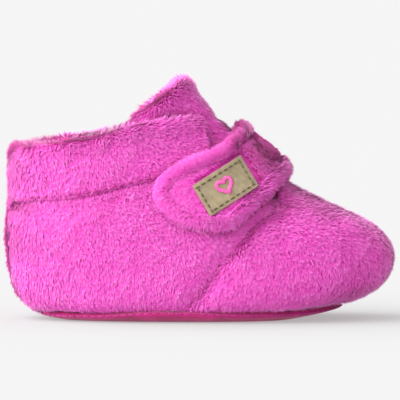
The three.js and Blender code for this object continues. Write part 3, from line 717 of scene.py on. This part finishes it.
COLLAR_MM, PILE_ROOM = 4.8, 0.9  # its thickness, and what the pile takes of it on each face
COLLAR_FRONT = ((2, 53), (1.8, 60), (0.3, 66.9))
RIM = ((-62.2, 57.5), (-40, 59.6), (-20, 64.2), (0.3, 66.9))
COLLAR_ROWS, COLLAR_STOPS = 36, 121  # round its section, and along it from end to end
collar_foot = seam(COLLAR_SEAM, 0, 0.5)
collar_rim = seam(RIM)
collar_end = seam(COLLAR_FRONT, 0, 0.5)


def round_heel(a, t):
    """The turn t of the near side carried past the heel and on to the far side, as a goes from 0 to 1."""
    return np.where(a < 0.5, t, np.where(a == 0.5, math.pi, 2 * math.pi - t))


def flat_round(wave):
    """A sine or cosine made squarer, which gives a section with flat sides and round corners."""
    return signed_power(wave, 0.55)


stops = np.linspace(0, 1, COLLAR_STOPS)
shrink = np.sqrt(np.clip(1 - np.clip(1 - np.minimum(stops, 1 - stops) * 60, 0, 1) ** 2, 0.05, 1))
angle = np.linspace(0, 2 * math.pi, COLLAR_ROWS, endpoint=False)
height, thick = 0.5 + 0.5 * flat_round(np.sin(angle)), flat_round(np.cos(angle))
share = np.abs(1 - 2 * stops)
foot_u, foot_t = on(collar_foot, share)
rim_u, rim_t = on(collar_rim, share)
level = 0.5 + (height[:, None] - 0.5) * shrink
u = mix(foot_u, rim_u, level)
t = mix(foot_t, rim_t, level)
end_t = on(collar_end, level)[1]
t = round_heel(stops[None], mix(t, end_t, share**8))
points = place(u, t, -COLLAR_MM / 2 + (COLLAR_MM / 2 - PILE_ROOM) * thick[:, None] * shrink)
up = np.roll(points, -1, axis=0) - np.roll(points, 1, axis=0)
normals = unit(np.cross(np.gradient(points, axis=1), up))
points = points + normals * (0.35 * rough(points, 9, 21) + 0.15 * rough(points, 3.5, 22))[..., None]
faces = grid_faces(COLLAR_STOPS, COLLAR_ROWS, wrap=True)
faces += [[start + k for k in range(COLLAR_ROWS)] for start in (0, (COLLAR_STOPS - 1) * COLLAR_ROWS)]
collar = mesh_object("collar_cloth", points.transpose(1, 0, 2).reshape(-1, 3), faces)

# The nap hangs down both faces, and stands up along the rim where it parts.
down = unit(downward(u, t)) + 0.5 * normals * np.array([1, 1, 0])
crest = np.exp(-(((np.max(u, axis=0) - u) / 0.03) ** 2))
store(collar, "nap", "FLOAT_VECTOR", comb(points, normals, down, 24).transpose(1, 0, 2).reshape(-1, 3))
store(collar, "pile", "FLOAT", np.ones(u.size))
store(collar, "lift", "FLOAT", 0.3 * crest.T)
outwards(collar)
finish_plush(collar, "upper", 21, ["collar_band"])


# ---- Tongue --------------------------------------------------------------------------------------
# A padded flap of plush with a fleece back, sewn in under the facings. Its rounded top folds forward at the
# collar's ends.

TONGUE_MM = 4.4
TONGUE_WIDTH, TONGUE_LENGTH = 46, 34  # roughly, to tell how far the edges are
TUCK, LOBE = -5.6, -6.4  # how deep the sides lie, at the foot and at the top
TONGUE_ROLL = 2.6  # how far in from its edge the stuffing is at its full height
FOLD_AT, FOLD_WIDTH, FOLD_DEPTH = 0.62, 0.06, 0.8  # the crease, in shares of the height and in mm
tongue_side = seam(((27, 42), (15.5, 47.5), (3.6, 54), (3, 61), (0, 65.8), (-9, 66.4), (-25, 64)))
tongue_peak = seen_at(drafted(-4.5, 80))


def tongue_grid(a, b):
    share = np.abs(1 - 2 * a)
    side_u, side_t = on(tongue_side, b)
    ridge = mix(vamp_top[0], tongue_peak[0], b)
    crown = np.cos(share * math.pi / 2) ** 0.8
    u = mix(side_u, ridge, mix(1 - share**2, crown, b))
    t = side_t * share + 0.24 * smooth(share, 0.6, 1) * (1 - smooth(b, 0.45, 0.6))
    return u, np.where(a < 0.5, t, -t)


a, b = np.meshgrid(0.5 - 0.5 * np.cos(np.linspace(0, math.pi, 49)), 1 - (1 - np.linspace(0, 1, 45)) ** 1.4)
share = np.abs(1 - 2 * a)
side_room, top_room = np.minimum(a, 1 - a) * TONGUE_WIDTH, (1 - b) * TONGUE_LENGTH
edge_room = np.minimum(side_room, top_room)
b = b * (1 - 0.05 * smooth(share, 0.75, 1))  # the top corners are rounded
u, t = tongue_grid(a, b)
sunk = smooth(share, mix(0.4, 0.3, b), mix(0.66, 1.0, b))
middle = mix(-1.2, mix(TUCK, LOBE, b), sunk * mix(1, np.sqrt(b), b)) - TONGUE_MM / 2
middle = middle - FOLD_DEPTH * np.exp(-(((b - FOLD_AT) / FOLD_WIDTH) ** 2))
plump = np.sqrt(np.clip(1 - (1 - np.clip(edge_room / TONGUE_ROLL, 0, 1)) ** 2, 0.03, 1))
top = place(u, t, middle + TONGUE_MM / 2 * plump)
bottom = place(u, t, middle - TONGUE_MM / 2 * plump)
tongue = slab("tongue_cloth", top, bottom, 1)

# The nap falls down the tongue, and is pulled outwards over its rolled edges.
sideways = unit(np.gradient(top, axis=1)) * (np.sign(a - 0.5) * np.exp(-((side_room / 4) ** 2)))[..., None]
upwards = unit(np.gradient(top, axis=0)) * np.exp(-((top_room / 2.5) ** 2))[..., None]
nap = comb(top, outward(u, t), unit(downward(u, t)) + 3 * sideways + 0.6 * upwards, 33)
lay_pile(tongue, nap, np.ones(u.shape), 0.4 * np.exp(-((edge_room / 2.5) ** 2)), (edge_room < 9).ravel())
outwards(tongue)


def joint_of(body):
    return next(joint for joint in frame["joints"] if joint["child"] == body)


hinge = np.array(joint_of("tongue_top")["pos_m"])
rising = unit(np.array([-0.45, 0, 0.89]))  # across the bend, up the tongue and back along its wings
bend = (tuple(hinge - 3 * MM * rising), tuple(hinge + 4 * MM * rising))
finish_plush(tongue, ("upper", "tongue_top"), 31,
             ["tongue_base", "tongue_base_lining", "tongue_top", "tongue_top_lining"], bend)


# ---- Strap ---------------------------------------------------------------------------------------
# A double band of plush, turned and topstitched a little inside its edges. It is sewn down on the far side,
# crosses the instep, and ends in a round tab on the near side, which closes on hook and loop.

STRAP_WIDTH, TAB_WIDTH, TAB_ROUND = 24, 27.5, 15
PEEL_AT, ANCHOR_AT, ANCHOR_END = 5.2, 15, 23  # hinge lines and the sewn end, mm from the instep's ridge
STRAP_LOW, STRAP_HIGH = 0.5, 3.5  # the faces' heights over the skin
STRAP_MIDDLE, STRAP_HALF = (STRAP_LOW + STRAP_HIGH) / 2, (STRAP_HIGH - STRAP_LOW) / 2
STRAP_ROLL = 3.2  # how far in from its edge the stuffing is at its full height
TOPSTITCH_MM, CHANNEL_DEPTH = 3.4, 0.55  # from the edge, and how deep the stitches pull the cloth in
RIM_PILE = 2.2  # the pile that stands out past the edge, mm
LABEL_SIZE, LABEL_MIDDLE = (18.5, 11.5), drafted(8.3, 45.2)
strap_middle = spline([
    drafted(*p) for p in ((18.6, 55.4), (15.4, 50.2), (10.6, 46.4), (0.6, 41.2), (-13.6, 38.6))
])
STRAP_REACH = float(np.linalg.norm(np.diff(strap_middle, axis=0), axis=1).sum())
TAB_END = STRAP_REACH - RIM_PILE
TURN_AT = TAB_END - TAB_ROUND  # where the tab's round end starts


def strap_edge(s, side):
    """The (u, t) of the strap's rear (-1) or front (1) edge at a distance s in mm from the instep's ridge."""
    share = min(abs(s) / STRAP_REACH, 1)
    middle = along_curve(strap_middle, share)
    cross = mix(deg(-40), deg(-52), smooth(share, 0, 0.6))
    full = mix(STRAP_WIDTH, TAB_WIDTH, smooth(share, 0.15, 0.6)) / 2 - RIM_PILE
    rounding = max(0.0, (abs(s) - TURN_AT) / TAB_ROUND)
    half = full * math.sqrt(max(0.01, 1 - rounding**2))
    found = seen_at(middle + np.array([math.cos(cross), math.sin(cross)]) * side * half)
    found[1] *= math.sqrt(smooth(abs(s), 0, PEEL_AT)) * (-1 if s < 0 else 1)
    return found


def strap_stops(start, straight, turning=20, radius=TAB_ROUND):
    """Distances from the ridge: straight ones from start, then closer and closer round the tab's end."""
    around = TURN_AT + radius * np.sin(np.linspace(0, math.pi / 2, turning))
    return np.concatenate([np.linspace(start, TURN_AT, straight)[:-1], around])


def strap_edges(stops):
    """The (u, t) of the rear edge and of the front edge at each distance."""
    return [np.array([strap_edge(s, side) for s in stops]) for side in (-1, 1)]


strap_outline = [place(*edge.T, STRAP_LOW) for edge in strap_edges(strap_stops(-ANCHOR_END, 60))]
strap_outline.append(place(*np.linspace(strap_edge(TAB_END, -1), strap_edge(TAB_END, 1), 9).T, STRAP_LOW))


def strap_cloth(name, stops):
    """A length of the strap: stuffed, thin at its edges, with a channel along the topstitching."""
    rear, front = strap_edges(stops)
    across = 0.5 - 0.5 * np.cos(np.linspace(0, math.pi, 57))
    u = mix(rear[:, 0, None], front[:, 0, None], across[None])
    t = mix(rear[:, 1, None], front[:, 1, None], across[None])
    flat = place(u, t, STRAP_LOW)
    inside = np.sqrt(-np.log(np.clip(fall(flat, strap_outline, 10), 1e-9, 1))) * 10
    plump = np.sqrt(np.clip(1 - (1 - np.clip(inside / STRAP_ROLL, 0, 1)) ** 2, 0.02, 1))
    sewn = CHANNEL_DEPTH * np.exp(-(((inside - TOPSTITCH_MM) / 0.9) ** 2))
    lumps = 0.3 * rough(flat, 7, 41)
    outer = place(u, t, STRAP_MIDDLE + STRAP_HALF * plump - sewn + lumps * plump)
    inner = place(u, t, STRAP_MIDDLE - STRAP_HALF * plump)
    piece = slab(name, outer, inner, 1)
    # The nap runs along the strap, and is pulled outwards over its rolled edges.
    rear, front = strap_edges(np.minimum(stops, TURN_AT))
    core = place(*((rear + front) / 2).T, STRAP_LOW)
    edge_pull = np.exp(-((inside / 5) ** 2))[..., None]
    way = unit(np.gradient(flat, axis=0)) + 3 * unit(flat - core[:, None]) * edge_pull
    nap = comb(flat, outward(u, t), way, 41, 0.35)
    channel = np.exp(-(((inside - TOPSTITCH_MM) / 0.7) ** 2))
    grown = bare_under(flat, LABEL_MIDDLE, LABEL_SIZE) * (1 - 0.3 * channel)
    lay_pile(piece, nap, grown, 0.5 * np.exp(-((inside / 3) ** 2)), ((inside < 1.6) * 1.0).ravel())
    return outwards(piece)


def strap_point(s):
    return place(*((strap_edge(s, -1) + strap_edge(s, 1)) / 2), STRAP_MIDDLE)


def bend_at(s, body, reach=3):
    """Where a blend starts and ends: reach mm either side of the hinge line at s, square to its axis."""
    axis = unit(np.array(joint_of(body)["axis"], float))
    run = strap_point(s + reach) - strap_point(s - reach)
    run = run - axis * (run @ axis)
    spot = strap_point(s)
    return tuple((spot - run / 2) * MM), tuple((spot + run / 2) * MM)


SPLIT, OVERLAP = -5, 0.4  # the two lengths meet here, just past the ridge
near_bend, far_bend = bend_at(PEEL_AT, "strap_tab"), bend_at(-ANCHOR_AT, "strap_bridge")
near_strap = strap_cloth("strap_near_cloth", strap_stops(SPLIT, 34))
far_strap = strap_cloth("strap_far_cloth", np.linspace(-ANCHOR_END, SPLIT + OVERLAP, 26))
near_nodes = ["strap_tab", "strap_tab_backing", "strap_bridge", "strap_bridge_backing"]
finish_plush(near_strap, ("strap_bridge", "strap_tab"), 41, near_nodes, near_bend, density=1.5)
finish_plush(far_strap, ("upper", "strap_bridge"), 42, ["strap_anchor"], far_bend, density=1.5)


# ---- Label ---------------------------------------------------------------------------------------
# A small khaki patch of plain-woven cotton tape. It lies tilted on the strap's tab, where no pile grows, and
# is sewn on with the seams below.

LABEL_TOP, LABEL_MM = 4.9, 1.2  # the height of its face over the skin, and its thickness


def on_tilt(middle, along, across, depth):
    """The points, and the skin's normals there, along and across in mm from a tilted rectangle's middle."""
    x = middle[0] + along * math.cos(LABEL_TILT) - across * math.sin(LABEL_TILT)
    z = middle[1] + along * math.sin(LABEL_TILT) + across * math.cos(LABEL_TILT)
    goal = np.stack([x, z], axis=-1)
    aim = goal
    for _ in range(8):
        found = seen_at(aim)
        aim = aim + 0.7 * (goal - place(found[..., 0], found[..., 1], depth)[..., [0, 2]])
    found = seen_at(aim)
    return place(found[..., 0], found[..., 1], depth), outward(found[..., 0], found[..., 1])


along, across = np.meshgrid(
    np.linspace(-0.5, 0.5, 15) * LABEL_SIZE[0], np.linspace(-0.5, 0.5, 11) * LABEL_SIZE[1],
)
top = on_tilt(LABEL_MIDDLE, along, across, LABEL_TOP)[0]
bottom = on_tilt(LABEL_MIDDLE, along, across, LABEL_TOP - LABEL_MM)[0]
label = outwards(slab("label_weave", top, bottom, 0))
bevel = label.modifiers.new("soft_edges", "BEVEL")
bevel.width, bevel.segments, bevel.limit_method, bevel.angle_limit = 0.25 * MM, 2, "ANGLE", deg(40)

# Cotton tape: dull, with threads that cross in a plain weave and a slub here and there.
THREAD_PITCH = 0.34574  # mm; a real thread is 0.25 mm, drawn coarser so that the weave shows
WAVE_TURN = 20  # the wave texture's phase, in radians for a unit of length
linen, tree, shader = finish_of("plain-woven cotton tape", {"Roughness": 0.85, "Sheen Weight": 0.15})
where = add(tree, "ShaderNodeTexCoord").outputs["Object"]
turned = add(tree, "ShaderNodeMapping", {"Vector": where, "Rotation": (0, LABEL_TILT, 0)})
threads = [add(tree, "ShaderNodeTexWave", {
    "Vector": turned, "Scale": 2 * math.pi / WAVE_TURN / (THREAD_PITCH * MM),
}, bands_direction=way).outputs["Fac"] for way in "ZX"]
weave = add(tree, "ShaderNodeMath", dict(enumerate(threads)), operation="MULTIPLY")
slubs = add(tree, "ShaderNodeMath", {0: weave, 1: speckle(tree, 2.0)}, operation="ADD")
tone = add(tree, "ShaderNodeValToRGB", {"Fac": slubs}, ((0.35, "#75684E"), (1.0, "#A89878")))
bump = add(tree, "ShaderNodeBump", {"Height": weave, "Strength": 0.6, "Distance": 0.2 * MM})
feed(tree, shader, {"Base Color": tone, "Normal": bump})
label.data.materials.append(linen)
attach(label, "strap_tab")
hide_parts("label_patch")


# ---- Seams ---------------------------------------------------------------------------------------
# Everything is sewn with polyester thread, and each seam is a row of stitches in a valley of the pile. The
# label is held by a running stitch in brown thread, and has a heart in pink satin stitch.

stitches, given = group_of("stitches", {
    "Route": "Geometry", "Stitch": "Object", "Pitch": "Float", "Turn": "Float", "Size": "Vector",
    "Material": "Material",
})
curve = add(stitches, "GeometryNodeMeshToCurve", {0: given["Route"]})
stops = add(stitches, "GeometryNodeResampleCurve", {"Curve": curve, "Length": given["Pitch"]}, mode="LENGTH")
up = add(stitches, "GeometryNodeInputNamedAttribute", {"Name": "up"}, data_type="FLOAT_VECTOR")
stand = add(stitches, "FunctionNodeAlignRotationToVector", {"Vector": up}, axis="Z")
run = add(stitches, "FunctionNodeAlignRotationToVector", {
    "Rotation": stand, "Vector": add(stitches, "GeometryNodeInputTangent"),
}, axis="X", pivot_axis="Z")
own_turn = add(stitches, "FunctionNodeEulerToRotation", {
    0: add(stitches, "ShaderNodeCombineXYZ", {"Z": given["Turn"]}),
})
turned = add(stitches, "FunctionNodeRotateRotation", {0: run, 1: own_turn}, rotation_space="LOCAL")
row = add(stitches, "GeometryNodeInstanceOnPoints", {
    "Points": stops, "Rotation": turned, "Scale": given["Size"],
    "Instance": add(stitches, "GeometryNodeObjectInfo", {"Object": given["Stitch"]}).outputs["Geometry"],
})
real = add(stitches, "GeometryNodeRealizeInstances", {0: row})
dyed = add(stitches, "GeometryNodeSetMaterial", {"Geometry": real, "Material": given["Material"]})
add(stitches, "NodeGroupOutput", {"Result": dyed})


def tube(name, middle, radius, sides=5):
    """A closed tube along a line in the x-z plane, whose radius varies."""
    middle, radius = np.array(middle, float), np.array(radius, float)
    along = unit(np.gradient(middle, axis=0))
    out = np.stack([-along[:, 1], 0 * along[:, 0], along[:, 0]], 1)
    turn = np.linspace(0, 2 * math.pi, sides, endpoint=False)
    ring = out[:, None] * np.cos(turn)[None, :, None] + np.array([0, 1, 0]) * np.sin(turn)[None, :, None]
    line = np.stack([middle[:, 0], 0 * middle[:, 0], middle[:, 1]], 1)
    points = line[:, None] + ring * radius[:, None, None]
    faces = grid_faces(len(middle), sides, wrap=True)
    faces += [list(range(sides)), list(range((len(middle) - 1) * sides, len(middle) * sides))]
    piece = outwards(mesh_object(name, points.reshape(-1, 3) / MM, faces))
    bpy.context.scene.collection.objects.unlink(piece)
    return piece


# A stitch is a unit long and a unit thick, dives at both ends, and is plumpest in its middle.
stitch = tube("stitch", [
    (-0.5, -0.3), (-0.42, 0), (-0.2, 0.16), (0, 0.2), (0.2, 0.16), (0.42, 0), (0.5, -0.3),
], [0.2, 0.36, 0.46, 0.5, 0.46, 0.36, 0.2])


def thread_of(name, dark, light):
    """Spun thread: a soft lustre, and a fine twist that reads as a fleck."""
    thread, tree, shader = finish_of(name, {"Roughness": 0.5, "Sheen Weight": 0.2})
    tone = add(tree, "ShaderNodeValToRGB", {"Fac": speckle(tree, 0.35)}, ((0.35, dark), (0.65, light)))
    feed(tree, shader, {"Base Color": tone})
    return thread


# The seam thread is coloured deeper than the pile, so that the stitched dimples along the seams read dark:
# painted shade.
pink_thread = thread_of("spun polyester thread", "#980C6E", "#BC1A8C")
satin_thread = thread_of("rayon embroidery thread", "#D83C9C", "#F070BC")
brown_thread = thread_of("waxed brown thread", "#46391F", "#6B5A38")


def sewn(name, points, ups, body, replaced, pitch, size, thread=pink_thread, slot="pink_thread", turn=0.0,
         blend=None, shape=stitch):
    """Rows of stitches along the points, each size = (length, width, height) in mm."""
    points = np.array(points)
    count = points.shape[-2]
    starts = np.arange(points.size // 3 // count)[:, None] * count + np.arange(count - 1)
    edges = np.stack([starts, starts + 1], -1).reshape(-1, 2)
    mesh = bpy.data.meshes.new("route")
    mesh.from_pydata((points.reshape(-1, 3) * MM).tolist(), edges.tolist(), [])
    route = bpy.data.objects.new("route", mesh)
    bpy.context.scene.collection.objects.link(route)
    store(route, "up", "FLOAT_VECTOR", np.array(ups))
    row = grown_from(route, stitches, name, {
        "Stitch": shape, "Pitch": pitch * MM, "Turn": turn, "Size": [mm * MM for mm in size],
        "Material": thread,
    })
    bpy.data.objects.remove(route)
    if blend:
        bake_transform(row)
    else:
        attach(row, body)
    if replaced:
        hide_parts(*replaced)
    return row


SEAM_DEPTH, COLLAR_SEAM_DEPTH, SOLE_SEAM_DEPTH = -2.1, -0.5, -0.35  # how deep the stitches lie
SEAM_STITCH, SEAM_PITCH = (1.7, 0.5, 0.5), 2.4
share = np.linspace(0, 1, 161)
foot_u, foot_t = on(collar_foot, np.abs(1 - 2 * share))
u, t = foot_u - 0.004, round_heel(share, foot_t)
sewn("collar_stitches", place(u, t, COLLAR_SEAM_DEPTH), outward(u, t), "upper", ["collar_seam_thread"], 2.9,
     (1.4, 0.75, 0.6))
seam_line = seam(VAMP_SEAM, 0, 0, from_hem=True)
for side, sign in (("near", 1), ("far", -1)):
    u, t = on(seam_line, np.linspace(0.02, 0.98, 60))
    sewn(f"vamp_stitches_{side}", place(u, sign * t, SEAM_DEPTH), outward(u, sign * t), "upper",
         [f"vamp_seam_thread_{side}"], SEAM_PITCH, SEAM_STITCH)
u = np.linspace(hem(math.pi) + 0.01, level_on(quarter_top, math.pi - 0.004) - 0.01, 50)
t = 0 * u + math.pi
sewn("back_stitches", place(u, t, SEAM_DEPTH), outward(u, t), "upper", ["back_seam_thread"], SEAM_PITCH,
     SEAM_STITCH)
t = np.linspace(-math.pi, math.pi, 240)
u = sole_level(np.abs(t)) + 0.003
sewn("sole_stitches", place(u, t, SOLE_SEAM_DEPTH), outward(u, t), "upper", ["sole_seam_thread"], 2.6,
     (1.8, 0.5, 0.5))

TOPSTITCH_DEPTH, TOPSTITCH, TOPSTITCH_PITCH = 2.6, (1.8, 0.55, 0.55), 2.6


def strap_row(stops, side):
    """Points and normals of the topstitching along one edge of the strap, inside its rolled edge."""
    rear, front = strap_edges(stops)
    width = np.linalg.norm(place(*rear.T) - place(*front.T), axis=-1)
    inset = np.minimum(0.5, TOPSTITCH_MM / width)[:, None]
    u, t = mix(rear, front, inset if side < 0 else 1 - inset).T
    return place(u, t, TOPSTITCH_DEPTH), outward(u, t)


tab_stops = strap_stops(PEEL_AT + 0.5, 16, 16, TAB_ROUND - TOPSTITCH_MM)
tab_rows = [strap_row(tab_stops, -1), strap_row(tab_stops[::-1], 1)]
sewn("tab_stitches", *[np.concatenate(both) for both in zip(*tab_rows)], ("strap_bridge", "strap_tab"),
     ["tab_topstitch"], TOPSTITCH_PITCH, TOPSTITCH, blend=near_bend)
for side, sign in (("rear", -1), ("front", 1)):
    row = strap_row(np.linspace(-ANCHOR_AT + 4, PEEL_AT - 3.2, 20), sign)
    sewn(f"bridge_stitches_{side}", *row, "strap_bridge", [f"bridge_topstitch_{side}"], TOPSTITCH_PITCH,
         TOPSTITCH)

BORDER_MM, HEART_MM = 1.3, 5.2
half = np.array(LABEL_SIZE) / 2 - BORDER_MM
corners = np.array([(-1, -1), (1, -1), (1, 1), (-1, 1), (-1, -1)]) * half
rows = [np.linspace(a, b, 13) for a, b in zip(corners, corners[1:])]
rows = np.array([on_tilt(LABEL_MIDDLE, *row[1:].T, LABEL_TOP + 0.06) for row in rows])
sewn("label_stitches", rows[:, 0], rows[:, 1], "strap_tab", ["label_stitching"], 2.1, (1.3, 0.62, 0.5),
     brown_thread, "brown_thread")
a = np.linspace(0, 2 * math.pi, 97)
heart = np.stack([
    np.sin(a) ** 3, (13 * np.cos(a) - 5 * np.cos(2 * a) - 2 * np.cos(3 * a) - np.cos(4 * a)) / 16 + 0.1,
])
sewn("label_heart_satin", *on_tilt(LABEL_MIDDLE, *heart * HEART_MM / 2, LABEL_TOP + 0.1), "strap_tab",
     ["label_heart"], 0.3, (1.15, 0.36, 0.4), satin_thread, turn=deg(70))


# ---- Hook and loop -------------------------------------------------------------------------------
# Two woven nylon pads: stiff hooks under the tab, and soft loops on the near quarter. Rows of hooks or loops
# stand on them, a millimetre apart.

HOOK_SIZE = (14, 12)

# Woven nylon: smooth threads, a little shinier than the plush, with paler and glossier hooks and loops.
tape, tree, shader = finish_of("woven nylon tape", {"Roughness": 0.6})
tone = add(tree, "ShaderNodeValToRGB", {"Fac": speckle(tree, 0.6)}, ((0.3, "#B8248C"), (0.7, "#D848AA")))
feed(tree, shader, {"Base Color": tone})
nylon = finish_of("moulded nylon", {"Roughness": 0.4, "Base Color": linear("#D85AB0")})[0]
hook = tube("hook", [(0, -0.2), (0, 0.5), (0.1, 0.85), (0.4, 1.0), (0.62, 0.8), (0.6, 0.55)],
            [0.16, 0.14, 0.13, 0.12, 0.1, 0.07], 4)
loop = tube("loop", [(-0.6, -0.2), (-0.62, 0.4), (-0.3, 0.9), (0.2, 1.0), (0.6, 0.6), (0.5, -0.1)],
            [0.1] * 6, 4)
for kind, shape, size, depth, way, body in (
    ("hook", hook, HOOK_SIZE, 0.45, -1, "strap_tab"), ("loop", loop, LOOP_SIZE, -0.05, 1, "upper"),
):
    node = frame["nodes"][f"{kind}_pad"]
    node.data.materials.clear()
    node.data.materials.append(tape)
    along = np.linspace(-size[0] / 2 + 0.8, size[0] / 2 - 0.8, 13)
    steps = np.arange(0.8, size[1] - 0.7) - size[1] / 2
    rows = [on_tilt(TAB_MIDDLE, along, across + 0 * along, depth) for across in steps]
    points, normals = zip(*rows)
    sewn(f"{kind}s", points, way * np.array(normals), body, None, 1.0, (0.55, 0.55, 0.33), nylon, "tape",
         shape=shape)


# ---- Floor, light and camera ---------------------------------------------------------------------
# A broad sheet of white paper under a tent of soft light, which is brightest above and to the left. The long
# lens looks at the near side from a little above.

SIDE, NEAR, FAR = 9000, -9000, 90000
corners = [(-SIDE, NEAR, 0), (SIDE, NEAR, 0), (SIDE, FAR, 0), (-SIDE, FAR, 0)]
floor = mesh_object("floor", corners, [(0, 1, 2, 3)])

# Backdrop paper: dead matt. Its own glow lifts it to an even near-white.
paper = finish_of("matt backdrop paper", {
    "Roughness": 0.95, "Base Color": linear("#868686"), "Emission Color": linear("#FFFFFF"),
    "Emission Strength": 0.4, "Specular IOR Level": 0.0,
})[0]
floor.data.materials.append(paper)

# The light comes from every way, stronger round the two ways given here.
ABOVE_LEFT, LEFT = (-0.68, 0.02, 0.73), (-0.93, -0.15, 0.33)
world = bpy.data.worlds.new("light tent")
world.use_nodes = True
tree = world.node_tree
aim = add(tree, "ShaderNodeTexCoord").outputs["Generated"]
lobes = [add(tree, "ShaderNodeMapRange", {
    "Value": add(tree, "ShaderNodeVectorMath", {0: aim, 1: way}, operation="DOT_PRODUCT").outputs["Value"],
    "From Min": start, "From Max": 1.0, "To Min": low, "To Max": high,
}) for way, start, low, high in ((ABOVE_LEFT, -0.3, 0.66, 1.42), (LEFT, 0.45, 0.0, 5.8))]
glow = add(tree, "ShaderNodeMath", dict(enumerate(lobes)), operation="ADD")
feed(tree, tree.nodes["Background"], {"Color": linear("#FFFFFF"), "Strength": glow})
bpy.context.scene.world = world
bpy.context.scene.view_settings.view_transform = "Standard"

DISTANCE, ELEVATION, AIM_HEIGHT = 1.47, deg(3), 0.0392
camera = bpy.data.cameras.new("camera")
camera.lens, camera.sensor_width, camera.clip_end = 400, 36, 200
view = bpy.data.objects.new("camera", camera)
target = Vector((0, 0, AIM_HEIGHT))
view.location = target + Vector((0, -math.cos(ELEVATION), math.sin(ELEVATION))) * DISTANCE
view.rotation_euler = (target - view.location).to_track_quat("-Z", "Y").to_euler()
bpy.context.scene.collection.objects.link(view)
bpy.context.scene.camera = view
